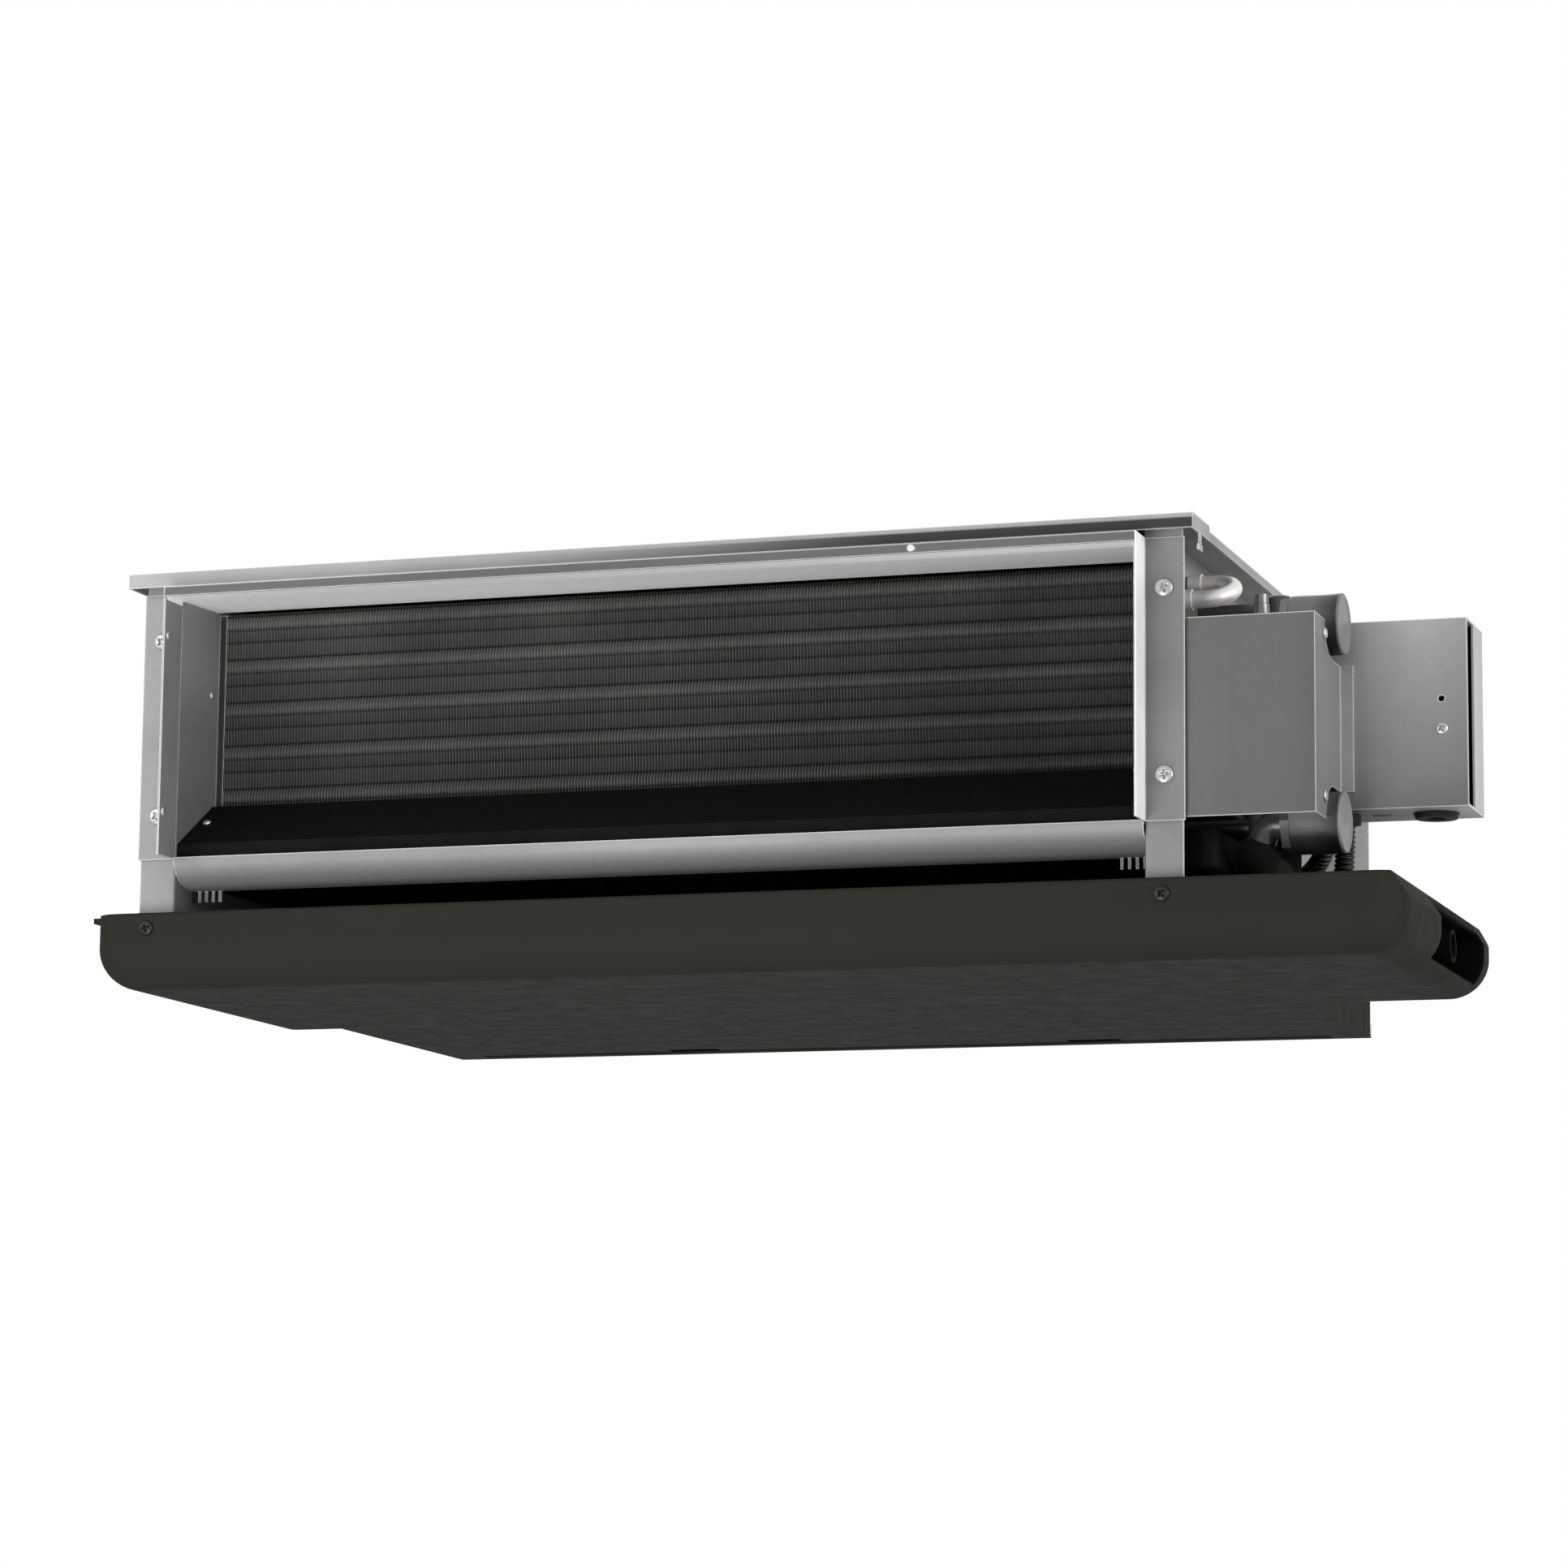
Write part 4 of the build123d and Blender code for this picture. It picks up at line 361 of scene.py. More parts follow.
zinc_inputs = {"Tone": "c", "Along": "v", "Sweep": "v", "Spangle": "f", "Rough": "f", "Fade": "f"}
zinc_skin, given, wanted = new_group("zinc_skin", {"Vector": "v", **zinc_inputs})
rolling = noise(zinc_skin, stretched(zinc_skin, given["Vector"], given["Along"]), 1.0, 5.0)
broad = noise(zinc_skin, stretched(zinc_skin, given["Vector"], given["Sweep"]), 1.0, 1.0)
smudge = noise(zinc_skin, given["Vector"], 7.0, 6.0, Roughness=0.6)
flakes = wire(zinc_skin, "ShaderNodeTexVoronoi", {"Vector": given["Vector"], "Scale": 160.0})
flake_tone = wire(zinc_skin, "ShaderNodeSeparateColor", {"Color": flakes.outputs["Color"]})
axes = wire(zinc_skin, "ShaderNodeSeparateXYZ", {"Vector": given["Vector"]})
flaked = remap(zinc_skin, flake_tone.outputs["Red"], 0.0, 1.0, -1.0, 1.0)
tone = figure(zinc_skin, "MULTIPLY", flaked, given["Spangle"])
tone = figure(zinc_skin, "ADD", tone, swing(zinc_skin, rolling, 0.98, 1.02))
tone = figure(zinc_skin, "MULTIPLY", tone, swing(zinc_skin, smudge, 0.93, 1.06))
tone = figure(zinc_skin, "MULTIPLY", swing(zinc_skin, broad, 0.88, 1.12), tone)
# Painted shade: the tone falls from the left end of the unit to the right by the fade.
rightward = remap(zinc_skin, axes.outputs["X"], -0.3, 0.3, -1.0, 1.0)
fade = figure(zinc_skin, "MULTIPLY_ADD", rightward, given["Fade"], 1.0)
tone = figure(zinc_skin, "MULTIPLY", tone, fade)
smudged = figure(zinc_skin, "ADD", given["Rough"], swing(zinc_skin, smudge, 0.06, -0.06))
relief = figure(zinc_skin, "ADD", rolling, flake_tone.outputs["Green"])
zinc_skin.links.new(scaled(zinc_skin, given["Tone"], tone), wanted["Color"])
zinc_skin.links.new(smudged, wanted["Roughness"])
zinc_skin.links.new(relief, wanted["Height"])


def zinc(
    name,
    tone,
    along,
    rough=0.5,
    spangle=0.02,
    metallic=0.3,
    fade=0.0,
    edge=0.8,
    shade=None,
    tint=(1.0, 1.0, 0.985),
):
    """Zinc-coated sheet of one grey, whose rolling marks run along an axis "x", "y" or "z".

    fade is painted shade: how much darker the metal gets from the left end of the unit to the
    right.
    """
    values = {
        "Tone": (*(tone * part for part in tint), 1.0),
        "Along": [6.0 if axis == along else 260.0 for axis in "xyz"],
        "Sweep": [2.0 if axis == along else 16.0 for axis in "xyz"],
        "Spangle": spangle,
        "Rough": rough,
        "Fade": -fade,
    }
    relief = {"bump": 0.02, "bump_distance": 0.0002}
    return surfaced(name, zinc_skin, values, metallic=metallic, shade=shade, edge=edge, **relief)


def dress(material, *names):
    """Gives CAD nodes one material."""
    for name in names:
        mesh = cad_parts[name].data
        mesh.materials.clear()
        mesh.materials.append(material)


def masked(tree, place, axis, start, stop, off=0.0, on=1.0):
    """One factor where a coordinate is short of start and another where it is past stop."""
    parts = wire(tree, "ShaderNodeSeparateXYZ", {"Vector": place})
    return remap(tree, parts.outputs[axis], start, stop, off, on)


def graded(tree, mask, off, on):
    """One factor where a mask is nought and another where it is one."""
    return remap(tree, mask, 0.0, 1.0, off, on)


def times(tree, *factors):
    """The product of some factors."""
    product = factors[0]
    for factor in factors[1:]:
        product = figure(tree, "MULTIPLY", product, factor)
    return product


def inside_width(tree, place):
    """One between the side walls and nought beyond them."""
    right_of_left = masked(tree, place, "X", *wall_left)
    return times(tree, right_of_left, masked(tree, place, "X", *wall_right))


def frame_shade(tree, place):
    """Painted light in the roof, on the right collar and flange; painted shade on the folded strip.
    """
    high_up = masked(tree, place, "Z", *roof_underside)
    walled = inside_width(tree, place)
    ahead = masked(tree, place, "Y", *flange_face)
    roof = times(tree, high_up, masked(tree, place, "Y", *strip_back), walled)
    strip = times(tree, high_up, masked(tree, place, "Y", *strip_front), walled)
    right_half = times(tree, masked(tree, place, "X", *frame_right_part), ahead)
    collar = times(tree, masked(tree, place, "X", *collar_right), ahead)
    return times(
        tree,
        graded(tree, roof, 1.0, 4.8),
        graded(tree, right_half, 1.0, 1.42),
        graded(tree, strip, 1.0, 0.36),
        graded(tree, collar, 1.0, 4.0),
    )


def lip_shade(tree, place):
    """A painted band of shade runs along the right half of the lid's front lip."""
    lip = masked(tree, place, "Y", *lip_face)
    below = masked(tree, place, "Z", *lip_shade_top)
    rightward = masked(tree, place, "X", *lip_shade_start)
    return graded(tree, times(tree, lip, below, rightward), 1.0, 0.05)


def web_shade(tree, place):
    """Painted light and shade on the side walls.

    The front flanges are painted dull and the rear ones bright. Painted shade darkens the walls
    downwards inside the unit, and painted light brightens them along the top outside it.
    """
    front_part = masked(tree, place, "Y", *front_folds, 0.66, 0.78)
    rear_part = masked(tree, place, "Y", *rear_folds, 1.0, 2.75)
    low_part = masked(tree, place, "Z", *wall_heights, 0.58, 1.05)
    outside = graded(tree, inside_width(tree, place), 1.0, 0.0)
    inner = figure(tree, "MAXIMUM", low_part, outside)
    top_band = times(tree, masked(tree, place, "Z", *wall_top_band), outside)
    return times(tree, front_part, rear_part, inner, graded(tree, top_band, 1.0, 1.45))


def bar_shade(tree, place):
    """Painted shade: the rolled bar gets duller towards its underside."""
    return masked(tree, place, "Z", *bar_heights, 0.72, 0.88)


top_zinc = zinc("top_zinc", 0.30, "x", fade=0.05, shade=lip_shade)
frame_zinc = zinc("frame_zinc", 0.20, "x", fade=0.17, shade=frame_shade)
bar_zinc = zinc("bar_zinc", 0.27, "x", rough=0.6, metallic=0.12, shade=bar_shade)
web_zinc = zinc("web_zinc", 0.31, "y", fade=0.12, shade=web_shade)
dress(top_zinc, "top_panel")
dress(frame_zinc, "outlet_frame")
dress(bar_zinc, "front_crossbar")
dress(web_zinc, "side_panel_left", "side_panel_right")

# Fan section sheet metal: the same galvanised stock, spot-welded or clinched inside.
# The deck carries both scrolls and the motor's cradle, and two rails hold the filter.
inner_zinc = zinc("inner_zinc", 0.34, "x")
dress(inner_zinc, "fan_deck", "motor_cradle", "scroll_left", "scroll_right")
dress(web_zinc, "filter_rail_left", "filter_rail_right")

# Self-tapping screws: zinc-plated pan heads with a cross recess over a rolled thread.
# Four hold the outlet frame, two the pipe cover and one the lid; two dark ones hold the tray.
screw_shank = 0.0019
lid_screw_shank = 0.0015
pan_height = 0.0022
flat_pan_height = 0.0018
thread_pitch = 0.0013
thread_depth = 0.00045
thread_rings = 7
crown_rings = 20
frame_screw_side = 0.290
frame_screw_heights = (-0.1375, -0.0380)
frame_flange_back = 0.0208
tray_screw_side = 0.2905
tray_screw_height = -0.2016
cover_screw_places = ((-0.2165, -0.0620), (-0.2183, -0.1485))
lid_screw_place = (0.424, -0.1082)
screw_zinc = zinc("screw_zinc", 0.42, "x", rough=0.32, spangle=0.0, metallic=0.7, edge=0.0)
screw_black = moulded("screw_black", (0.006, 0.006, 0.005), 0.4, bump=0.03, gloss=0.3)


def lathed(along, radius, around, centre, facing):
    """Rings of points round an axis through centre that faces "-y" or "+x".

    A ring's point is centre + along * axis + radius * (cos v * a + sin v * b), where a, b
    and the axis are X, Z, -Y or Y, Z, X. along and radius are arrays of rows by angles.
    """
    v = np.linspace(0.0, 2 * np.pi, around, endpoint=False)
    a, b = radius * np.cos(v), radius * np.sin(v)
    n = along + 0.0 * v
    points = np.stack([a, -n, b] if facing == "-y" else [n, a, b], axis=-1)
    return points + np.asarray(centre)


def screw(centre, facing, head, height, shank, length, turn_by, around=48):
    """A pan-head screw's rings from its tip to the middle of its head, and their number.

    The thread's radius is the shank less depth times (1 - cos(2 pi n / pitch - v)) / 2 at
    the run n and the angle v. The head rises from its lip with the root of one less the
    cube of the radius, and two crossed bars sink in it.
    """
    tip, lip, recess_half, recess_depth = 0.0025, 0.35, 0.13, 0.8
    v = np.linspace(0.0, 2 * np.pi, around, endpoint=False)
    n = np.linspace(-length, -0.0004, int(length / thread_pitch * thread_rings))[:, None]
    ridge = thread_depth * (0.5 - 0.5 * np.cos(2 * np.pi * n / thread_pitch - v))
    taper = np.clip((n + length) / tip, 0.06, 1.0)
    shaft = taper * (shank - ridge)
    neck = np.zeros((2, around))
    neck_radius = np.array([[shank], [head * 0.97]]) + 0 * v
    u = np.concatenate([[1.0], np.linspace(1.0, 0.012, crown_rings) ** 0.8])[:, None]
    x, z = u * np.cos(v), u * np.sin(v)
    p = x * math.cos(turn_by) + z * math.sin(turn_by)
    q = z * math.cos(turn_by) - x * math.sin(turn_by)
    bars = np.maximum(1 / (1 + (p / recess_half) ** 8), 1 / (1 + (q / recess_half) ** 8))
    crown = lip + (1 - lip) * np.sqrt(np.clip(1 - u**3, 0.0, 1.0))
    rise = crown - recess_depth * bars * np.clip(1.7 - 2.6 * u, 0.0, 1.0)
    rise[0] = 0.12
    along = np.concatenate([n + 0 * v, neck, np.clip(rise, 0.02, 1.0) * height])
    radius = np.concatenate([shaft, neck_radius, head * u + 0 * v])
    return lathed(along, radius, around, centre, facing), len(along)


def screws(name, node, places, turns, facing, head, height, shank, length, material):
    """Several equal screws as one piece in place of a CAD node."""
    verts, faces = [], []
    for place, turn_by in zip(places, turns):
        points, rows = screw(place, facing, head, height, shank, length, turn_by)
        start = sum(len(more) for more in verts)
        faces += [tuple(i + start for i in face) for face in ring_faces(rows, points.shape[1])]
        verts.append(points.reshape(-1, 3))
    piece = mesh_piece(name, np.concatenate(verts), faces, material, "casing")
    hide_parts(node)


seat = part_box("outlet_frame")[0].y + frame_flange_back
screws(
    "frame_screws_threaded",
    "frame_screws",
    [(side * frame_screw_side, seat, z) for z in frame_screw_heights for side in (-1, 1)],
    turns=(0.5, 0.1, 0.9, 0.4),
    facing="-y",
    head=0.0049,
    height=pan_height,
    shank=screw_shank,
    length=0.007,
    material=screw_zinc,
)
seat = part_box("drain_tray")[0].y
screws(
    "tray_screws_threaded",
    "tray_screws",
    [(side * tray_screw_side, seat, tray_screw_height) for side in (-1, 1)],
    turns=(0.3, 0.8),
    facing="-y",
    head=0.0042,
    height=pan_height,
    shank=screw_shank,
    length=0.017,
    material=screw_black,
)
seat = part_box("cover_screws")[1].x - flat_pan_height
screws(
    "cover_screws_threaded",
    "cover_screws",
    [(seat, *place) for place in cover_screw_places],
    turns=(0.2, 1.0),
    facing="+x",
    head=0.0033,
    height=flat_pan_height,
    shank=screw_shank,
    length=0.005,
    material=screw_zinc,
)
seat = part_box("electrical_box")[0].y
screws(
    "lid_screw_threaded",
    "lid_screw",
    [(lid_screw_place[0], seat, lid_screw_place[1])],
    turns=(0.6,),
    facing="-y",
    head=0.0034,
    height=pan_height,
    shank=lid_screw_shank,
    length=0.007,
    material=screw_zinc,
)

# Blind rivets: aluminium domes, drawn tight from the outside.
# They join the side walls, the collar and the pan.
rivet_metal = zinc("rivet_metal", 0.62, "x", rough=0.3, spangle=0.0, metallic=0.8, edge=0.0)
dress(rivet_metal, "rivets")

# Coil fins: 0.14 mm aluminium strips pressed over the tubes, 1.8 mm apart.
# Their edges are rippled once in each half tube pitch. The bands of light and shade that
# the ripples make across the coil are painted into the fins' colour, and painted shade darkens
# the edges that face the front, the lower coil, and a little its left end.
fin_pitch = 0.0018
fin_thickness = 0.00014
fin_ripple = 0.0011
fin_wave = 0.00035
half_pitch = 0.0125
fin_rows = 25
fin_bright = 5.15
fin_tint = (1.0, 0.985, 0.93)
# Painted light and shade of the ripples, as levels across one tube pitch.
ripple_light_and_shade = (
    (0.15, 0.056),
    (0.31, 0.060),
    (0.345, 0.011),
    (0.38, 0.056),
    (0.60, 0.066),
    (0.63, 0.018),
    (0.66, 0.066),
    (0.73, 0.096),
    (0.80, 0.074),
    (0.92, 0.055),
    (0.95, 0.003),
    (0.98, 0.040),
)
# Painted shade along each row of tubes.
tube_line_shade = 0.058
fin_low, fin_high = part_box("coil_fin_pack")

# A fin is a stack of four-cornered rows. Every second row is wider by the ripple in front
# and behind, and the fin sways by fin_wave * sin(pi z / half_pitch + 0.5).
z = np.linspace(fin_low.z, fin_high.z, fin_rows)
ripple = np.where(np.arange(fin_rows) % 2 == 1, fin_ripple, 0.0)
wave = fin_wave * np.sin(np.pi * (z - fin_low.z) / half_pitch + 0.5)
front, rear = fin_low.y + fin_ripple - ripple, fin_high.y - fin_ripple + ripple
left, right = wave - fin_thickness / 2, wave + fin_thickness / 2
corners = ((left, front), (right, front), (right, rear), (left, rear))
outline = np.stack([np.stack([x, y, z], axis=-1) for x, y in corners], axis=1)
fin_count = int((fin_high.x - fin_low.x - fin_thickness) / fin_pitch) + 1
middle = (fin_low.x + fin_high.x) / 2
fin_x = middle + (np.arange(fin_count) - (fin_count - 1) / 2) * fin_pitch
shifts = np.stack([fin_x, 0 * fin_x, 0 * fin_x], axis=-1)
fins = outline[None] + shifts[:, None, None, :]
one = np.array(ring_faces(fin_rows, len(corners)), dtype=int)
starts = fin_rows * len(corners) * np.arange(fin_count)
stack = (one[None] + starts[:, None, None]).reshape(-1, 4)


def fin_color(level):
    """The fins' aluminium at one level of brightness."""
    return (*(level * fin_bright * part for part in fin_tint), 1.0)


fin_metal, tree, place = blank_material("fin_metal")
axes = wire(tree, "ShaderNodeSeparateXYZ", {"Vector": place})
above_foot = figure(tree, "ADD", axes.outputs["Z"], -float(fin_low.z))
share = figure(tree, "FRACT", figure(tree, "DIVIDE", above_foot, 2 * half_pitch))
bands = wire(tree, "ShaderNodeValToRGB", {"Fac": share})
ramp = bands.color_ramp
for position, level in ripple_light_and_shade:
    ramp.elements.new(position).color = fin_color(level)
ramp.elements[0].color = fin_color(tube_line_shade)
ramp.elements[-1].color = fin_color(tube_line_shade)
patchy = noise(tree, place, 14.0, 5.0)
normal = wire(tree, "ShaderNodeNewGeometry").outputs["Normal"]
facing = wire(tree, "ShaderNodeSeparateXYZ", {"Vector": normal})
# Painted shade on the edges that face the front, lower down, and a little on the left.
front_edge_shade = remap(tree, facing.outputs["Y"], -0.9, -0.5, 0.10, 1.0)
low_down = remap(tree, axes.outputs["Z"], -0.15, -0.03, 0.8, 1.1)
far_right = remap(tree, axes.outputs["X"], -0.28, 0.28, 1.0, 1.04)
dim = times(tree, low_down, far_right, front_edge_shade, swing(tree, patchy, 0.9, 1.1))
fin_look = {
    "Base Color": scaled(tree, bands.outputs["Color"], dim),
    "Metallic": 0.2,
    "Specular IOR Level": 0.2,
    "Roughness": swing(tree, patchy, 0.5, 0.6),
}
end_in_shader(tree, fin_look)
fin_piece = mesh_piece(
    "coil_fins", fins, stack, fin_metal, "casing", smooth=False
)
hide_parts("coil_fin_pack")

# Coil end plates, tubes, bends and headers: galvanised plates and copper dulled to grey.
# The bends and feeders are brazed into belled sockets.
plate_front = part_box("coil_plate_left")[0].y
# Painted shade on the plates' front edges, and painted light and shade up the bends.
plate_edge = (plate_front + 0.0030, plate_front + 0.0020)
bend_shade_heights = (-0.110, -0.065)
copper = {"rough": 0.38, "spangle": 0.0, "metallic": 0.4, "edge": 0.0}


def plate_shade(tree, place):
    """Painted shade on the plates' folded front edges beside the fins."""
    return masked(tree, place, "Y", *plate_edge, 1.0, 0.06)


def bend_shade(tree, place):
    """A painted highlight on the bends at the top of the coil, and painted shade further down."""
    return masked(tree, place, "Z", *bend_shade_heights, 0.08, 1.1)


plate_zinc = zinc("plate_zinc", 0.33, "z", shade=plate_shade)
bend_metal = zinc("copper_bends", 0.80, "x", tint=(1.0, 0.975, 0.94), shade=bend_shade, **copper)
dress(plate_zinc, "coil_plate_left", "coil_plate_right")
dress(bend_metal, "return_bends", "outlet_header")
dress(zinc("copper_hairpins", 0.36, "x", tint=(1.0, 0.90, 0.80), **copper), "hairpin_tubes")
dress(zinc("copper_dark", 0.07, "x", tint=(1.0, 0.95, 0.9), **copper), "inlet_header")

# Foam sleeve: black closed-cell tube, slit along its length and glued round the cold pipe.
# Its two ends are pressed in a little where they were cut.
sleeve_wall = 0.004
sleeve_outer = 0.0115
sleeve_bend = 0.013
sleeve_sides = 40
sleeve_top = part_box("pipe_foam")[1].z
sleeve_corners = (
    (0.328, -0.135, sleeve_top),
    (0.328, -0.135, -0.182),
    (0.328, -0.195, -0.182),
    (0.33142, -0.195, -0.169175),
)
foam_tone = (0.006, 0.0065, 0.005)
foam_black = moulded("foam_black", foam_tone, 0.9, grain_scale=420.0, bump=0.5, gloss=0.12)


def rounded_line(corners, bend, steps=14):
    """Straight runs joined by arcs of one radius that touch both runs of a corner.

    An arc's point is its centre plus the start and the stop radius, weighted by the sines
    of the angles that are left and gone, over the sine of the whole sweep.
    """
    corners = [np.array(corner, dtype=float) for corner in corners]
    points = [corners[0]]
    for before, here, after in zip(corners, corners[1:], corners[2:]):
        back = (before - here) / np.linalg.norm(before - here)
        on = (after - here) / np.linalg.norm(after - here)
        half = math.acos(float(np.clip(back @ on, -1.0, 1.0))) / 2
        reach = bend / math.tan(half)
        centre = here + (back + on) / np.linalg.norm(back + on) * bend / math.sin(half)
        start, stop = here + back * reach - centre, here + on * reach - centre
        sweep = math.pi - 2 * half
        for k in range(steps + 1):
            gone = k / steps * sweep
            arc = math.sin(sweep - gone) * start + math.sin(gone) * stop
            points.append(centre + arc / math.sin(sweep))
    points.append(corners[-1])
    return np.array(points)


def sleeve(points, outer, wall, around, count=150):
    """A soft tube's rings along the outside and back along the bore, and their number.

    The outer radius falls by 0.25 mm times half of three plus three sines of the run and
    the angle, by 0.7 mm in the slit's groove and by 0.9 mm at the two pressed ends.
    """
    length = length_run(points)[-1]
    s = np.linspace(0.0, length, count)
    centre, ring = rings_along(points, s, (1.0, 0.05, 0.02), around)
    v = np.linspace(0.0, 2 * np.pi, around, endpoint=False)
    run = s[:, None]
    lumps = np.sin(310 * run + 2 * v)
    lumps = lumps + np.sin(170 * run - 3 * v + 1.0) + np.sin(90 * run + v + 2.0)
    slit = np.exp(-(((v - 2.2) / 0.14) ** 2))
    ends = np.clip(1 - np.minimum(run, length - run) / 0.003, 0.0, 1.0) ** 2
    outside = outer - 0.00025 * (lumps + 3) / 2 - 0.0007 * slit - 0.0009 * ends
    bore = np.full_like(outside, outer - wall + 0.00015)
    skin = centre + outside[..., None] * ring
    hole = (centre + bore[..., None] * ring)[::-1]
    return np.concatenate([skin, hole]), 2 * count


sleeve_line = rounded_line(sleeve_corners, sleeve_bend)
verts, rows = sleeve(sleeve_line, sleeve_outer, sleeve_wall, sleeve_sides)
faces = ring_faces(rows, sleeve_sides, loop=True)
foam_sleeve = mesh_piece("pipe_foam_sleeve", verts, faces, foam_black, "casing")
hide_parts("pipe_foam")

# Unions and air vent: turned brass, dulled by handling.
# The unions end the two headers, and the vent is screwed into the upper one.
brass_metal = zinc("brass_metal", 0.17, "x", rough=0.36, spangle=0.0, metallic=0.8, edge=0.0)
dress(brass_metal, "water_unions", "vent_body", "vent_screw")

# Caps: thin grey polythene, pushed over the unions for transport, a little dented.
# Painted shade darkens their skirts, most of it beside the end disc.
cap_outer = 0.0165
cap_inner = 0.0142
cap_start = 0.349
cap_floor = 0.375
cap_stop = 0.377
cap_round = 0.0012
cap_sunk = 0.0006
cap_sides = 72
# Where painted shade runs along the skirts, towards the end disc.
cap_shade_run = (cap_stop - 0.016, cap_stop - 0.003)
cap_disc = (cap_stop - 0.0022, cap_stop - 0.0014)
dent_depth = 0.0005
nearly_closed = 0.00008
cap_tone = (0.185, 0.187, 0.183)
cap_look = {"cloud": 0.1, "bump": 0.1, "gloss": 0.35}


def cap_shade(tree, place, centre):
    """Painted shade darkens the skirt towards the end disc and below; none is on the disc."""
    toward_disc = masked(tree, place, "X", *cap_shade_run, 1.0, 0.16)
    below = masked(tree, place, "Z", centre + 0.004, centre - 0.009, 1.0, 0.1)
    on_disc = masked(tree, place, "X", *cap_disc)
    return figure(tree, "MAXIMUM", times(tree, toward_disc, below), on_disc)


def dented_cap(centre, phase):
    """A cap's rings: up the bore, along the skirt, round its edge and over the end disc.

    The skirt's radius falls by the dent depth times 0.5 plus a quarter of
    sin(2 v + 120 x + phase) + sin(5 v - 260 x + phase), at the place x and the angle v.
    """
    bore = [(cap_floor, radius) for radius in (nearly_closed, 0.008, cap_inner)]
    bore.append((cap_start, cap_inner))
    skirt = [(x, cap_outer) for x in np.linspace(cap_start, cap_stop - cap_round, 26)]
    edge = [
        (cap_stop - cap_round * (1 - math.sin(t)), cap_outer - cap_round * (1 - math.cos(t)))
        for t in np.linspace(0.2, math.pi / 2, 7)
    ]
    disc = [(cap_stop, cap_outer - 0.0022)]
    disc += [(cap_stop - cap_sunk, radius) for radius in (cap_outer - 0.003, 0.010, 0.006, 0.0022)]
    disc += [(cap_stop - cap_sunk / 2, radius) for radius in (0.0018, nearly_closed)]
    profile = np.array(bore + skirt + edge + disc)
    v = np.linspace(0.0, 2 * np.pi, cap_sides, endpoint=False)
    x, radius = profile[:, :1] + 0 * v, profile[:, 1:] + 0 * v
    dents = 0.5 + 0.25 * (np.sin(2 * v + phase + 120 * x) + np.sin(5 * v - 260 * x + phase))
    outside = (np.arange(len(profile)) >= len(bore)) & (profile[:, 1] > cap_outer - 0.002)
    radius = radius - dent_depth * dents * outside[:, None]
    return lathed(x, radius, cap_sides, centre, "+x"), len(profile)


for name, body, phase in (("cap_upper", "upper_cap", 0.0), ("cap_lower", "lower_cap", 1.7)):
    low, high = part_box(name)
    centre_y, centre_z = (low.y + high.y) / 2, (low.z + high.z) / 2
    points, rows = dented_cap((0.0, centre_y, centre_z), phase)
    cap_grey = moulded(
        name + "_grey",
        cap_tone,
        0.5,
        shade=lambda tree, place, centre=centre_z: cap_shade(tree, place, centre),
        **cap_look,
    )
    faces = ring_faces(rows, cap_sides)
    cap = mesh_piece(name + "_dented", points, faces, cap_grey, body)
    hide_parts(name)

# Drain pan and drip bowl: black moulded trays that catch the water under the coil.
# The pan ends in a sloping apron before the coil, and the bowl lies below the pipes.
pan_black = moulded("pan_black", (0.0022, 0.0026, 0.0018), 0.6, bump=0.05, gloss=0.06)
dress(pan_black, "inner_drain_pan", "drip_bowl")

# Drain tray, bottom panel and fan cover: charcoal moulding and powder-coated steel.
# Painted shade darkens the drain niche in the tray's right wall round the drain stub.
niche_back = (0.3922, 0.3928)
niche_front_cheek = (-0.1506, -0.1502)
niche_rear_cheek = (-0.0244, -0.0248)
niche_floor = (-0.2276, -0.2272)
charcoal_tone = (0.0245, 0.0235, 0.0195)
matt_coat = {"cloud": 0.015, "bump": 0.004, "gloss": 0.012}


def tray_shade(tree, place):
    """Painted shade: the drain niche in the tray's right wall is darker than the rest of the tray.
    """
    niche = times(
        tree,
        masked(tree, place, "X", *niche_back),
        masked(tree, place, "Y", *niche_front_cheek),
        masked(tree, place, "Y", *niche_rear_cheek),
        masked(tree, place, "Z", *niche_floor),
    )
    return graded(tree, niche, 1.0, 0.16)


charcoal = moulded(
    "tray_charcoal", charcoal_tone, 0.66, shade=tray_shade, soften=0.004, **matt_coat
)
coat = moulded("panel_coat", charcoal_tone, 0.66, grain_scale=600.0, **matt_coat)
dress(charcoal, "drain_tray")
dress(coat, "bottom_panel", "fan_cover")
dress(moulded("stub_black", (0.005, 0.006, 0.0045), 0.7, gloss=0.03), "drain_spigot")

# Pipe cover, electrical box and bracket: small galvanised pressings fixed to the casing.
# The cover's tail lies on the box's lid.
cover_tail = (-0.1785, -0.1775)
cover_left_part = (0.325, 0.293)
cover_low_part = (-0.115, -0.150)
lid_heights = (-0.15, -0.05)
lid_sides = (0.36, 0.435)


def cover_shade(tree, place):
    """Painted light and shade: front duller than return, tail brighter, left lighter, bottom
    duller.
    """
    front_part = masked(tree, place, "Y", *front_folds, 0.55, 1.38)
    tail = masked(tree, place, "Y", *cover_tail, 1.0, 1.9)
    left_part = masked(tree, place, "X", *cover_left_part, 0.84, 1.14)
    low_part = masked(tree, place, "Z", *cover_low_part, 1.0, 0.90)
    return times(tree, front_part, tail, left_part, low_part)


def lid_shade(tree, place):
    """Painted light towards the top left of the lid, and painted shade towards its bottom right."""
    high_up = masked(tree, place, "Z", *lid_heights, 0.67, 1.7)
    return times(tree, high_up, masked(tree, place, "X", *lid_sides, 1.05, 0.5))


